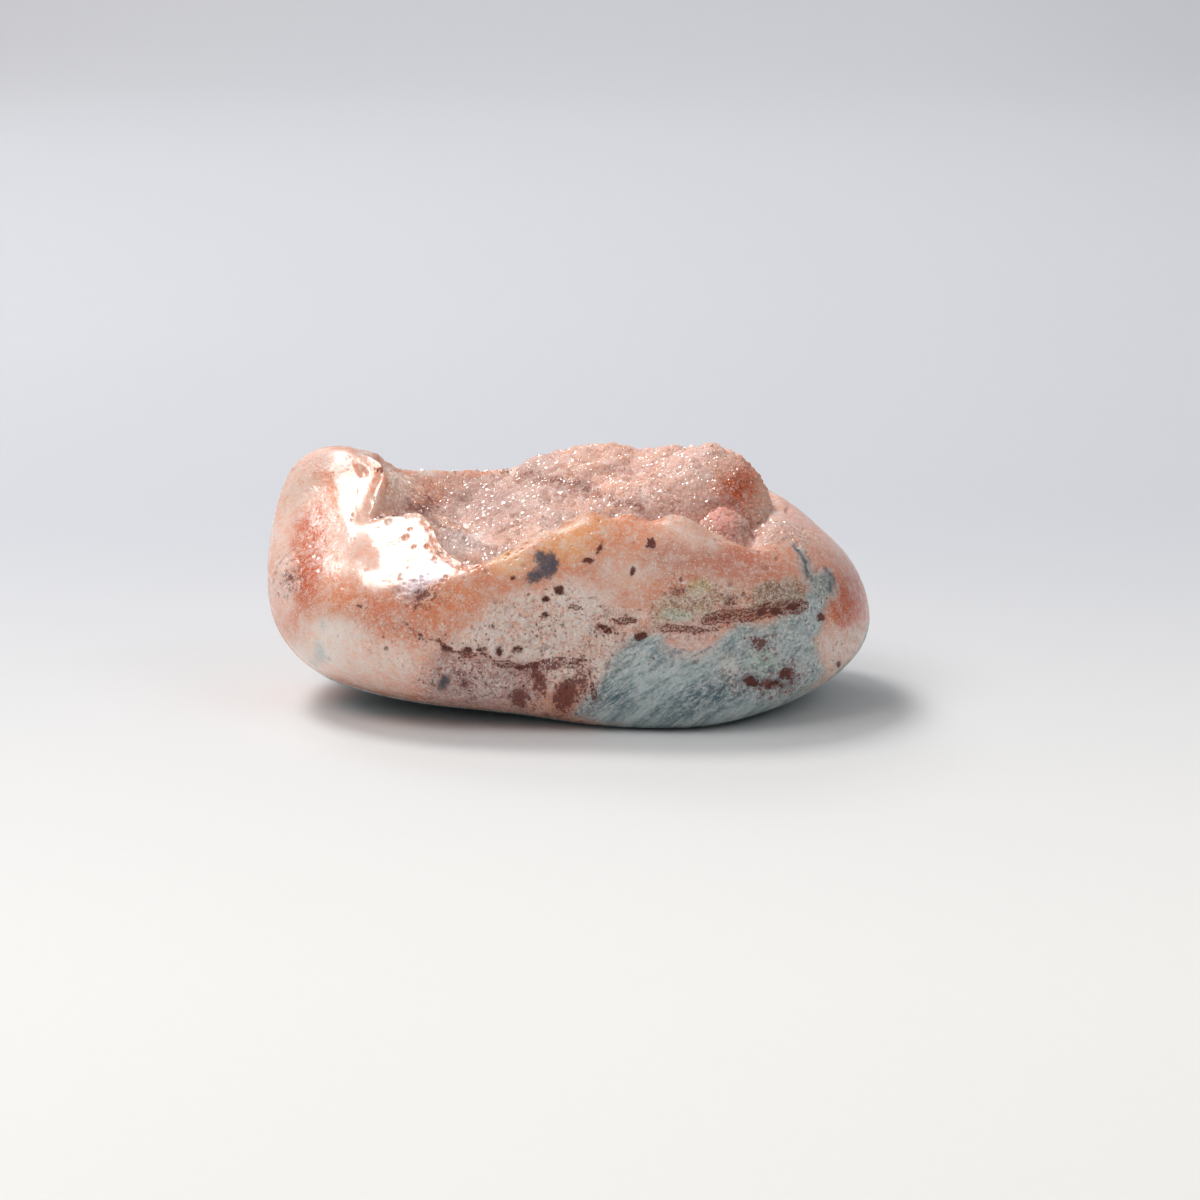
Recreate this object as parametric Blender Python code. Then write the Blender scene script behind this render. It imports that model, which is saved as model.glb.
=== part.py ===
"""A tumbled pink amethyst: a polished quartz pebble with an open hollow on top that is lined with crystals."""

import math
import random

import bmesh
import bpy
import numpy as np
from mathutils import Matrix, Vector, geometry, noise

MM = 0.001

# Stations round the stone, in millimetres and degrees. Azimuth 0 is to the right, 90 to the back.
# The crest is the rim of the hollow: azimuth, radius, height, outward slope.
CREST = (
    (4, 25.2, 22.6, 4),
    (22, 27.4, 23.2, 10),
    (38, 27.0, 24.6, 15),
    (52, 25.0, 26.4, 15),
    (66, 22.8, 27.4, 12),
    (84, 21.4, 27.6, 10),
    (99, 21.6, 26.2, 10),
    (112, 23.7, 24.6, 15),
    (130, 26.2, 24.8, 15),
    (144, 27.0, 25.9, 8),
    (156, 26.6, 28.4, -2),
    (170, 26.6, 30.0, -5),
    (180, 23.0, 28.5, 23),
    (190, 24.2, 25.4, 28),
    (196, 25.2, 23.7, 30),
    (201, 22.2, 24.6, 32),
    (207, 20.4, 24.7, 34),
    (216, 20.6, 23.7, 36),
    (229, 22.5, 21.6, 37),
    (241, 23.6, 20.6, 40),
    (249, 21.4, 21.9, 50),
    (258, 19.9, 23.8, 45),
    (268, 18.9, 25.2, 40),
    (279, 18.5, 26.5, 35),
    (290, 19.2, 26.1, 35),
    (299, 20.6, 25.7, 35),
    (307, 22.5, 26.1, 40),
    (315, 25.0, 23.8, 40),
    (325, 28.3, 21.5, 25),
    (340, 25.6, 22.8, 2),
)

# The girth is where the stone is widest: azimuth, radius, height, upper and lower fullness.
GIRTH = (
    (0, 37.6, 9.7, 0.47, 0.51),
    (22, 35.2, 11.0, 0.52, 0.56),
    (40, 30.4, 12.0, 0.58, 0.58),
    (62, 26.2, 12.5, 0.60, 0.60),
    (90, 23.2, 11.5, 0.60, 0.60),
    (118, 27.6, 13.5, 0.58, 0.60),
    (140, 33.0, 15.5, 0.56, 0.62),
    (165, 37.0, 17.8, 0.76, 0.68),
    (182, 37.6, 16.6, 0.62, 0.72),
    (195, 37.2, 14.5, 0.50, 0.72),
    (206, 35.6, 13.5, 0.50, 0.68),
    (217, 33.2, 12.0, 0.62, 0.64),
    (229, 30.2, 10.5, 0.76, 0.60),
    (241, 26.9, 9.0, 0.80, 0.58),
    (256, 24.4, 7.5, 0.76, 0.56),
    (272, 23.8, 6.5, 0.75, 0.58),
    (290, 25.5, 6.0, 0.72, 0.60),
    (308, 30.2, 6.5, 0.68, 0.60),
    (325, 34.3, 7.8, 0.58, 0.52),
    (342, 37.0, 8.8, 0.48, 0.50),
)

# The flat patch that the stone rests on: azimuth, radius.
FOOT = (
    (0, 20.0),
    (45, 16.0),
    (90, 12.0),
    (135, 10.0),
    (180, 10.0),
    (225, 9.0),
    (242, 10.0),
    (262, 13.5),
    (280, 18.0),
    (295, 21.5),
    (310, 24.0),
    (335, 23.0),
)

HOLLOW_FLOOR = 17.2
HOLLOW_POWER = 2.3

# Domes of crystal growth in the hollow: x, y, base height, radius x, radius y, rise, turn in degrees.
DOMES = {
    "back_slope": (-2.0, 17.0, 4.0, 20.0, 28.0, 20.4, 0),
    "far_lobe_end": (-3.0, 19.5, 20.5, 5.2, 6.0, 6.4, 0),
    "far_lobe": (4.2, 18.0, 20.5, 12.0, 10.2, 7.9, 0),
    "far_lobe_crown": (12.0, 16.0, 20.5, 7.5, 8.0, 8.2, 0),
    "middle_lobe": (7.5, 7.0, 20.0, 6.0, 9.5, 6.3, 0),
    "near_hump": (17.0, 5.0, 21.0, 8.7, 8.2, 9.5, 0),
    "small_lump": (19.1, -8.2, 21.5, 3.4, 3.2, 3.7, 0),
    "front_bank": (5.5, -18.5, 17.0, 14.0, 9.0, 8.8, 0),
    "left_bank": (-18.5, -5.0, 16.0, 6.5, 10.0, 6.6, 20),
}
DOME_BLEND = 0.6

# Pits in the polished side: azimuth, height, radius across, depth.
PITS = (
    (196.6, 16.8, 0.9, 0.5),
    (209.4, 20.8, 1.6, 0.4),
    (225.9, 17.1, 0.9, 0.4),
    (231.0, 16.0, 0.8, 0.5),
    (238.3, 10.2, 1.0, 0.6),
    (245.7, 10.2, 1.2, 0.6),
    (253.5, 10.4, 1.5, 0.6),
    (260.5, 7.4, 1.3, 0.5),
    (269.6, 4.6, 1.4, 0.5),
    (267.2, 17.8, 0.9, 0.5),
    (263.5, 15.4, 0.8, 0.5),
    (290.4, 12.4, 1.1, 0.6),
    (316.4, 6.1, 1.2, 0.6),
    (321.5, 5.5, 1.0, 0.5),
    (75.0, 14.0, 1.6, 0.6),
    (112.0, 9.0, 1.2, 0.6),
    (20.0, 12.0, 1.2, 0.5),
)

LIP = 0.5
LIP_DROP = 0.4
CRUST_THICKNESS = 1.5
GAP = 0.3
LEAST_LEAN = 0.5

COLUMNS = 84
LOWER_ROWS = 8
UPPER_ROWS = 8
BED_SPACING = 3.0
BED_REACH = 1.3
CRYSTAL_SPACING = 1.55
CRYSTAL_HEIGHT = 0.55
CRYSTAL_TILT = 0.35
TRIES = 9000
RIPPLE = 0.4
RIPPLE_SIZE = 10.0
BACK_SWELL = 1.6
BACK_SWELL_SIZE = 17.0
EDGE_FADE = 3.0
STEP = 0.4
TURN_STEP = 2.0
SEED = 7


def clear_scene():
    for item in list(bpy.data.objects):
        bpy.data.objects.remove(item, do_unlink=True)


def around(stations, azimuth):
    """Each value of the stations at this azimuth, as a smooth closed curve through them."""
    table = np.array(stations, float)
    full_turn = np.zeros(table.shape[1])
    full_turn[0] = 360.0
    table = np.vstack([table[-2:] - full_turn, table, table[:3] + full_turn])
    places, values = table[:, 0], table[:, 1:]
    wrapped = (azimuth - places[2]) % 360.0 + places[2]
    i = int(np.searchsorted(places, wrapped, side="right")) - 1
    span = places[i + 1] - places[i]
    t = (wrapped - places[i]) / span
    leave = (values[i + 1] - values[i - 1]) / (places[i + 1] - places[i - 1]) * span
    arrive = (values[i + 2] - values[i]) / (places[i + 2] - places[i]) * span
    return (
        (2 * t**3 - 3 * t**2 + 1) * values[i]
        + (t**3 - 2 * t**2 + t) * leave
        + (3 * t**2 - 2 * t**3) * values[i + 1]
        + (t**3 - t**2) * arrive
    )


def polar(azimuth, radius, height):
    angle = math.radians(azimuth)
    return Vector((radius * math.cos(angle), radius * math.sin(angle), height))


def azimuths():
    return [360.0 * column / COLUMNS for column in range(COLUMNS)]


def side_profile(azimuth):
    """Points down the polished side at this azimuth, from the crest to the foot."""
    crest_radius, crest_height, slope = around(CREST, azimuth)
    girth_radius, girth_height, upper, lower = around(GIRTH, azimuth)
    (foot_radius,) = around(FOOT, azimuth)
    outward = Vector((1.0, 0.0))
    leaving = Vector((math.cos(math.radians(slope)), -math.sin(math.radians(slope))))
    crest = Vector((crest_radius, crest_height))
    girth = Vector((girth_radius, girth_height))
    foot = Vector((foot_radius, 0.0))
    above = girth + Vector((0.0, upper * (crest_height - girth_height)))
    below = girth - Vector((0.0, lower * girth_height))
    crest_pull = crest + leaving * upper * (girth_radius - crest_radius)
    foot_pull = foot + outward * lower * (girth_radius - foot_radius)
    profile = geometry.interpolate_bezier(crest, crest_pull, above, girth, UPPER_ROWS + 1)
    profile += geometry.interpolate_bezier(girth, below, foot_pull, foot, LOWER_ROWS + 1)[1:]
    behind = max(0.0, math.sin(math.radians(azimuth)))
    points = []
    for radius, height in profile:
        point = polar(azimuth, radius, height)
        calm = min(1.0, height / EDGE_FADE) * min(1.0, (crest_height - height) / EDGE_FADE)
        uneven = RIPPLE * noise.noise(point / RIPPLE_SIZE)
        uneven += BACK_SWELL * behind * noise.noise(point / BACK_SWELL_SIZE)
        points.append(point + polar(azimuth, calm * uneven, 0.0))
    return points


def on_side(azimuth, height):
    """The point of the polished side at this azimuth and height."""
    points = side_profile(azimuth)
    for upper, lower in zip(points, points[1:]):
        if lower.z <= height <= upper.z:
            return lower.lerp(upper, (height - lower.z) / (upper.z - lower.z))
    return points[0]


def side_normal(azimuth, height):
    across = on_side(azimuth + TURN_STEP, height) - on_side(azimuth - TURN_STEP, height)
    up = on_side(azimuth, height + STEP) - on_side(azimuth, height - STEP)
    return across.cross(up).normalized()


def crust_height(x, y):
    """The height of the crystal lining over a point inside the crest."""
    crest_radius, crest_height, _ = around(CREST, math.degrees(math.atan2(y, x)))
    share = min(1.0, math.hypot(x, y) / crest_radius)
    height = HOLLOW_FLOOR + (crest_height - LIP_DROP - HOLLOW_FLOOR) * share**HOLLOW_POWER
    for dome_x, dome_y, base, radius_x, radius_y, rise, turn in DOMES.values():
        angle = math.radians(turn)
        along = ((x - dome_x) * math.cos(angle) + (y - dome_y) * math.sin(angle)) / radius_x
        across = ((y - dome_y) * math.cos(angle) - (x - dome_x) * math.sin(angle)) / radius_y
        inside = 1.0 - along**2 - across**2
        if inside > 0.0:
            dome = base + rise * math.sqrt(inside)
            blend = max(0.0, 1.0 - abs(dome - height) / DOME_BLEND)
            height = max(dome, height) + DOME_BLEND * blend**2 / 4
    return height


def crust_normal(x, y):
    slope_x = (crust_height(x + STEP, y) - crust_height(x - STEP, y)) / (2 * STEP)
    slope_y = (crust_height(x, y + STEP) - crust_height(x, y - STEP)) / (2 * STEP)
    return Vector((-slope_x, -slope_y, 1.0)).normalized()


def below_crust(x, y, depth):
    """A point this far under the crystal lining and under its lowest place close by."""
    radius = math.hypot(x, y)
    crest_radius = around(CREST, math.degrees(math.atan2(y, x)))[0]
    edge = min(1.0, (crest_radius - LIP - GAP) / radius)
    lean = max(crust_normal(x * edge, y * edge).z, LEAST_LEAN)
    lowest = crust_height(x * edge, y * edge) - depth / lean
    if radius < crest_radius - BED_SPACING:
        for turn in range(0, 360, 45):
            near = Vector((x, y, 0.0)) + polar(turn, BED_REACH, 0.0)
            lowest = min(lowest, crust_height(near.x, near.y) - depth)
    return Vector((x, y, lowest))


def inset_ring(inset):
    """Plan positions round the hollow, this far inside the crest."""
    ring = []
    for azimuth in azimuths():
        crest_radius = around(CREST, azimuth)[0]
        ring.append(polar(azimuth, crest_radius - inset, 0.0).to_2d())
    return ring


def scatter(ring, spacing, rng):
    """Points inside the ring, none nearer than the spacing to another along the crystal lining."""
    kept = np.array([(x, y, crust_height(x, y)) for x, y in ring])
    reach = max(point.length for point in ring)
    inner = []
    for _ in range(TRIES):
        x, y = rng.uniform(-reach, reach), rng.uniform(-reach, reach)
        crest_radius = around(CREST, math.degrees(math.atan2(y, x)))[0]
        if math.hypot(x, y) > crest_radius - LIP - spacing / 2:
            continue
        point = np.array((x, y, crust_height(x, y)))
        if ((kept - point) ** 2).sum(axis=1).min() > spacing**2:
            kept = np.vstack([kept, point])
            inner.append(Vector((x, y)))
    return inner


def triangulate(ring, inner):
    """Triangles, facing up, over the ring and the points inside it."""
    points = ring + inner
    outline = [tuple(range(len(ring)))]
    flat, _, triangles, _, _, _ = geometry.delaunay_2d_cdt(points, [], outline, 1, 1e-6)
    return flat, [tuple(t) for t in triangles]


def ring_faces(bm, lower, upper):
    for i in range(len(lower)):
        j = (i + 1) % len(lower)
        bm.faces.new((lower[i], lower[j], upper[j], upper[i]))


def finish_mesh(bm, name, material):
    bmesh.ops.recalc_face_normals(bm, faces=bm.faces)
    bmesh.ops.scale(bm, vec=(MM, MM, MM), verts=bm.verts)
    mesh = bpy.data.meshes.new(name)
    bm.to_mesh(mesh)
    bm.free()
    mesh.materials.append(material)
    body = bpy.data.objects.new(name, mesh)
    bpy.context.collection.objects.link(body)
    return body


def make_material(name, colour, roughness, metallic=0.0):
    material = bpy.data.materials.new(name)
    material.use_nodes = True
    shader = material.node_tree.nodes["Principled BSDF"]
    shader.inputs["Base Color"].default_value = (*colour, 1.0)
    shader.inputs["Roughness"].default_value = roughness
    shader.inputs["Metallic"].default_value = metallic
    return material


def make_stone(bed_flat, bed_triangles, material):
    """The polished pebble, with the bed of the hollow as its top."""
    bm = bmesh.new()
    columns = [[bm.verts.new(point) for point in side_profile(azimuth)] for azimuth in azimuths()]
    rings = [list(ring) for ring in zip(*columns)]
    for upper, lower in zip(rings, rings[1:]):
        ring_faces(bm, lower, upper)
    bm.faces.new(reversed(rings[-1]))

    ring = inset_ring(LIP)
    places = ring + bed_flat[len(ring) :]
    bed = [bm.verts.new(below_crust(x, y, CRUST_THICKNESS + GAP)) for x, y in places]
    ring_faces(bm, rings[0], bed[: len(ring)])
    for a, b, c in bed_triangles:
        bm.faces.new((bed[a], bed[b], bed[c]))
    body = finish_mesh(bm, "stone_body", material)
    body.data.shade_smooth()
    return body


def make_crust(bed_flat, bed_triangles, crystal_inner, rng, material):
    """The crystals, one flat-faced point over each cell of the lining, on a closed crust."""
    bm = bmesh.new()
    under = [bm.verts.new(below_crust(x, y, CRUST_THICKNESS)) for x, y in bed_flat]
    for a, b, c in bed_triangles:
        bm.faces.new((under[c], under[b], under[a]))

    ring = inset_ring(LIP + GAP)
    flat, triangles = triangulate(ring, crystal_inner)

    def on_crust(x, y):
        return bm.verts.new((x, y, crust_height(x, y)))

    centres = []
    around_point = [[] for _ in flat]
    for index, corners in enumerate(triangles):
        middle = (flat[corners[0]] + flat[corners[1]] + flat[corners[2]]) / 3
        centres.append(on_crust(*middle))
        for corner in corners:
            around_point[corner].append(index)

    count = len(ring)
    rim = [on_crust(*flat[i]) for i in range(count)]
    between = [on_crust(*((flat[i] + flat[(i + 1) % count]) / 2)) for i in range(count)]
    for i in range(count):
        j = (i + 1) % count
        bm.faces.new((under[i], under[j], between[i]))
        bm.faces.new((under[i], between[i], rim[i]))
        bm.faces.new((under[j], rim[j], between[i]))

    for i, site in enumerate(flat):
        def bearing(vert):
            return math.atan2(vert.co.y - site.y, vert.co.x - site.x)

        corners = [centres[index] for index in around_point[i]]
        if i < count:
            outward = bearing(between[i])
            corners.sort(key=lambda vert: (bearing(vert) - outward) % (2 * math.pi))
            corners = [rim[i], between[i], *corners, between[i - 1]]
        else:
            corners.sort(key=bearing)
        middle = sum((vert.co for vert in corners), Vector()) / len(corners)
        lean = Vector((rng.uniform(-1, 1), rng.uniform(-1, 1), 0.0)) * CRYSTAL_TILT
        direction = (crust_normal(middle.x, middle.y) + lean).normalized()
        tip = bm.verts.new(middle + direction * CRYSTAL_HEIGHT * rng.uniform(0.6, 1.4))
        for a, b in zip(corners, corners[1:] + corners[:1]):
            bm.faces.new((a, b, tip))
    return finish_mesh(bm, "crystal_crust", material)


def cut_pits(body):
    bm = bmesh.new()
    for azimuth, height, radius, depth in PITS:
        ball = (radius**2 + depth**2) / (2 * depth)
        centre = on_side(azimuth, height) + side_normal(azimuth, height) * (ball - depth)
        place = Matrix.Translation(centre)
        bmesh.ops.create_icosphere(bm, subdivisions=2, radius=ball, matrix=place)
    cutter = finish_mesh(bm, "pit_cutter", body.data.materials[0])
    cutter.hide_render = True
    cutter.display_type = "WIRE"
    cut = body.modifiers.new("pits", "BOOLEAN")
    cut.operation = "DIFFERENCE"
    cut.solver = "EXACT"
    cut.object = cutter


def build():
    clear_scene()
    rng = random.Random(SEED)
    quartz = make_material("polished_quartz", (0.72, 0.36, 0.25), 0.2)
    crystal = make_material("pink_crystal", (0.72, 0.45, 0.38), 0.12)
    ring = inset_ring(LIP + GAP)
    bed_flat, bed_triangles = triangulate(ring, scatter(ring, BED_SPACING, rng))
    crystal_inner = scatter(ring, CRYSTAL_SPACING, rng)
    cut_pits(make_stone(bed_flat, bed_triangles, quartz))
    make_crust(bed_flat, bed_triangles, crystal_inner, rng, crystal)


build()
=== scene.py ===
"""A tumbled pink amethyst: the polished stone, its crystal-lined hollow and a plain studio."""

import math

import bpy
import numpy as np
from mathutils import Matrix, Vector, noise


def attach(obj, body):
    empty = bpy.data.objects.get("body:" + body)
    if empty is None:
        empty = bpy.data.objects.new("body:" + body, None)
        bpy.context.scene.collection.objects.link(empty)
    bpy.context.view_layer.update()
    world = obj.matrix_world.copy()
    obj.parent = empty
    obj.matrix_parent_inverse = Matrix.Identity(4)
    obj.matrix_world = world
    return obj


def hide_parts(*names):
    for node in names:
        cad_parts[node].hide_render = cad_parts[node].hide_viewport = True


MM = 0.001

# The same stations as the solid's, in millimetres and degrees. Azimuth 0 is to the right, 90 to the back.
# The crest is the rim of the hollow: azimuth, radius, height, outward slope.
CREST = (
    (4, 25.2, 22.6, 4), (22, 27.4, 23.2, 10), (38, 27, 24.6, 15), (52, 25, 26.4, 15),
    (66, 22.8, 27.4, 12), (84, 21.4, 27.6, 10), (99, 21.6, 26.2, 10), (112, 23.7, 24.6, 15),
    (130, 26.2, 24.8, 15), (144, 27, 25.9, 8), (156, 26.6, 28.4, -2), (170, 26.6, 30, -5),
    (180, 23, 28.5, 23), (190, 24.2, 25.4, 28), (196, 25.2, 23.7, 30), (201, 22.2, 24.6, 32),
    (207, 20.4, 24.7, 34), (216, 20.6, 23.7, 36), (229, 22.5, 21.6, 37), (241, 23.6, 20.6, 40),
    (249, 21.4, 21.9, 50), (258, 19.9, 23.8, 45), (268, 18.9, 25.2, 40), (279, 18.5, 26.5, 35),
    (290, 19.2, 26.1, 35), (299, 20.6, 25.7, 35), (307, 22.5, 26.1, 40), (315, 25, 23.8, 40),
    (325, 28.3, 21.5, 25), (340, 25.6, 22.8, 2),
)

# The girth is where the stone is widest: azimuth, radius, height, upper and lower fullness.
GIRTH = (
    (0, 37.6, 9.7, 0.47, 0.51), (22, 35.2, 11, 0.52, 0.56), (40, 30.4, 12, 0.58, 0.58),
    (62, 26.2, 12.5, 0.6, 0.6), (90, 23.2, 11.5, 0.6, 0.6), (118, 27.6, 13.5, 0.58, 0.6),
    (140, 33, 15.5, 0.56, 0.62), (165, 37, 17.8, 0.76, 0.68), (182, 37.6, 16.6, 0.62, 0.72),
    (195, 37.2, 14.5, 0.5, 0.72), (206, 35.6, 13.5, 0.5, 0.68), (217, 33.2, 12, 0.62, 0.64),
    (229, 30.2, 10.5, 0.76, 0.6), (241, 26.9, 9, 0.8, 0.58), (256, 24.4, 7.5, 0.76, 0.56),
    (272, 23.8, 6.5, 0.75, 0.58), (290, 25.5, 6, 0.72, 0.6), (308, 30.2, 6.5, 0.68, 0.6),
    (325, 34.3, 7.8, 0.58, 0.52), (342, 37, 8.8, 0.48, 0.5),
)

# The flat patch that the stone rests on: azimuth, radius.
FOOT = (
    (0, 20), (45, 16), (90, 12), (135, 10), (180, 10), (225, 9), (242, 10), (262, 13.5),
    (280, 18), (295, 21.5), (310, 24), (335, 23),
)

HOLLOW_FLOOR = 17.2
HOLLOW_POWER = 2.3

# Domes of crystal growth in the hollow: x, y, base height, radius x, radius y, rise, turn in degrees.
DOMES = {
    "back_slope": (-2, 17, 4, 20, 28, 20.4, 0),
    "far_lobe_end": (-3, 19.5, 20.5, 5.2, 6, 6.4, 0),
    "far_lobe": (4.2, 18, 20.5, 12, 10.2, 7.9, 0),
    "far_lobe_crown": (12, 16, 20.5, 7.5, 8, 8.2, 0),
    "middle_lobe": (7.5, 7, 20, 6, 9.5, 6.3, 0),
    "near_hump": (17, 5, 21, 8.7, 8.2, 9.5, 0),
    "small_lump": (19.1, -8.2, 21.5, 3.4, 3.2, 3.7, 0),
    "front_bank": (5.5, -18.5, 17, 14, 9, 8.8, 0),
    "left_bank": (-18.5, -5, 16, 6.5, 10, 6.6, 20),
}
DOME_BLEND = 0.6
LIP_DROP = 0.4

RIPPLE = 0.4
RIPPLE_SIZE = 10
BACK_SWELL = 1.6
BACK_SWELL_SIZE = 17
EDGE_FADE = 3

# Crest stations that notch the lip alone: the facet below them is one smooth face.
NOTCH = (190, 196, 201)
NOTCH_REACH = 0.2

# The left flank turns away sharply along this edge: where it crosses two heights, depth and width.
EDGE_LOW = (-26, 12.7)
EDGE_HIGH = (-29.8, 29.3)
EDGE_DEPTH = 0.55
EDGE_WIDTH = 2

# The viewpoint of the photograph, in millimetres and degrees.
VIEW_TARGET = (3.9, -2.5, 12.1)
VIEW_DISTANCE = 500
VIEW_ELEVATION = 12
LENS = 120.5
SENSOR = 36

# Soft lights: name, azimuth, elevation, distance, size, power, seen in gloss, lights the surfaces.
LIGHTS = (
    ("window", 132, 55.5, 1.4, (0.4, 0.4), 10.2, True, True),
    ("window_side", 171, 60.5, 1.4, (0.56, 0.3), 10, True, False),
    ("low_window", 112, 34, 1.4, (0.4, 0.4), 4.8, False, True),
    ("left_fill", 206, 54, 1.2, (0.8, 0.6), 5, False, True),
    ("right_fill", 335, 42, 1.2, (0.8, 0.6), 1.8, False, True),
)
WARM_WHITE = (1, 0.99, 0.97)
SKY_COLOUR = (0.95, 0.97, 1, 1)
SKY_STRENGTH = {"From Min": 0, "From Max": 0.8, "To Min": 0.12, "To Max": 0.38}
# The floor and its backdrop, in metres. Their colours carry painted shade: darker and bluer further back,
# and darker still to the upper left.
FLOOR_NEAR = (0.82, 0.81, 0.79)
FLOOR_GRAIN = (0.7, 0.7, 0.7)
FLOOR_FAR_SHADED = (0.56, 0.57, 0.61)
FLOOR_SHADE = (0.8, 0.79, 0.78)
SWEEP_FRONT = -1.2
SWEEP_BEND = 0.9
SWEEP_RADIUS = 0.5
SWEEP_TOP = 2.2
SWEEP_HALF_WIDTH = 2.2
SWEEP_STEPS = 16

# How finely the stone is modelled.
FRONT_COLUMNS = 450
BACK_COLUMNS = 140
FRONT_FROM = 188
FRONT_TO = 352
UPPER_ROWS = 92
LOWER_ROWS = 46
CREST_CROWDING = 1.25
BED_ROWS = 22
LIP = 0.5
BED_DEPTH = 0.45
CREST_ROUNDING = 0.4
CREST_UNEVEN = 0.35
# The bed of the hollow takes the lip's colour this far in, and has these marks.
LIP_TINT = (2.2, 0.4)
BED_MARKS = {"porous": 0.1, "matt": 0.5}

# Crystals on the sugary patch of the side: size, tries; how deep they sit, as a share of their size.
SUGAR_SIZES = ((0.46, 300), (0.33, 1500))
SUGAR_SUNK = 0.15
# Large clear crystals that catch the eye: x, y, size.
SHOWY_CRYSTALS = ((-13.2, 9.1, 1.2),)
# Crystals in the hollow, large ones first: size, tries; half the sides of the field of tries.
CRYSTAL_SIZES = ((0.85, 220), (0.58, 2600), (0.41, 15000), (0.29, 70000))
HOLLOW_REACH = (29, 24)
# How far crystals reach past the crest: azimuths of its start, full part and end, then the distance.
CREST_REACH = (
    (236, 250, 340, 352, -1.3),
    (20, 60, 115, 140, 0.5),
    (135, 150, 185, 200, -0.5),
)
REACH_UNEVEN = 0.45
# Crystals on the upright foot of a dome: tries for each mm of its radii, how far the foot spreads, sizes.
WALL_TRIES = 150
WALL_HALF_WIDTH = 0.15
WALL_SIZES = (0.5, 0.35)
# The shape of a crystal, as shares of its size or, for the tip, of its radius.
SIDES = 6
STEEPEST = 2
CRYSTAL_LEAN = 0.3
CRYSTAL_RADII = (0.65, 0.9)
CRYSTAL_ROOT = -0.7
SHOULDERS = (-0.25, 0.08)
TIPS = (0.35, 0.7)
TIP_OFF_CENTRE = 0.35
CORNER_SPREAD = (0.85, 1.15)
CRYSTAL_SHADES = (0.93, 1.04)
CLEAR_SHARE = 0.06
# The crystals behind this y are one piece, those in front of it another.
CRYSTAL_SPLIT = 2
CRYSTAL_SOFTNESS = 0.65
SEED = 11

# A mark's distance where the mark is nowhere near, in millimetres.
FAR_OUTSIDE = -9.0


def srgb(red, green, blue):
    """A colour given in the usual 0 to 255 steps, as linear light."""
    values = np.array((red, green, blue)) / 255
    return np.where(values <= 0.04045, values / 12.92, ((values + 0.055) / 1.055) ** 2.4)


def smooth(low, high, values):
    t = np.clip((np.asarray(values, float) - low) / (high - low), 0, 1)
    return t * t * (3 - 2 * t)


def lattice(points, size, seed):
    """Smooth random values from -1 to 1 with features about this size, at each point."""
    table = np.random.default_rng(seed).uniform(-1, 1, (32, 32, 32))
    places = np.asarray(points, float) / size + 500
    cell = np.floor(places).astype(int)
    part = places - cell
    part = part * part * (3 - 2 * part)
    total = np.zeros(len(places))
    for corner in range(8):
        step = np.array((corner & 1, corner >> 1 & 1, corner >> 2 & 1))
        weight = np.prod(np.where(step, part, 1 - part), axis=1)
        index = (cell + step) % 32
        total += weight * table[index[:, 0], index[:, 1], index[:, 2]]
    return total


def rough(points, size, seed, layers=4):
    """Lattice values over several sizes, each half as large and half as strong."""
    total = np.zeros(len(points))
    reach = 0
    for layer in range(layers):
        total += lattice(points, size / 2**layer, seed + layer) / 2**layer
        reach += 1 / 2**layer
    return total / reach * 1.6


def stacked(*parts):
    return np.stack(np.broadcast_arrays(*parts), axis=-1)


def unit(vectors):
    return vectors / np.maximum(np.linalg.norm(vectors, axis=-1, keepdims=True), 1e-12)


def azimuth_of(x, y):
    return np.degrees(np.arctan2(y, x)) % 360


def around(stations, azimuth):
    """Each value of the stations at these azimuths, as a smooth closed curve through them."""
    table = np.array(stations, float)
    full_turn = np.zeros(table.shape[1])
    full_turn[0] = 360
    table = np.vstack([table[-2:] - full_turn, table, table[:3] + full_turn])
    places, values = table[:, 0], table[:, 1:]
    wrapped = (np.asarray(azimuth, float) - places[2]) % 360 + places[2]
    i = np.searchsorted(places, wrapped, side="right") - 1
    span = places[i + 1] - places[i]
    t = ((wrapped - places[i]) / span)[:, None]
    leave = (values[i + 1] - values[i - 1]) / (places[i + 1] - places[i - 1])[:, None] * span[:, None]
    arrive = (values[i + 2] - values[i]) / (places[i + 2] - places[i])[:, None] * span[:, None]
    curve = (2 * t**3 - 3 * t**2 + 1) * values[i] + (t**3 - 2 * t**2 + t) * leave
    curve += (3 * t**2 - 2 * t**3) * values[i + 1] + (t**3 - t**2) * arrive
    return curve.T


def turned(azimuth, radius, height):
    angle = np.radians(azimuth)
    return stacked(radius * np.cos(angle), radius * np.sin(angle), height)


def bezier(corners, t):
    t = t[:, None]
    a, b, c, d = corners
    return (1 - t) ** 3 * a + 3 * t * (1 - t) ** 2 * b + 3 * t**2 * (1 - t) * c + t**3 * d


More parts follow.
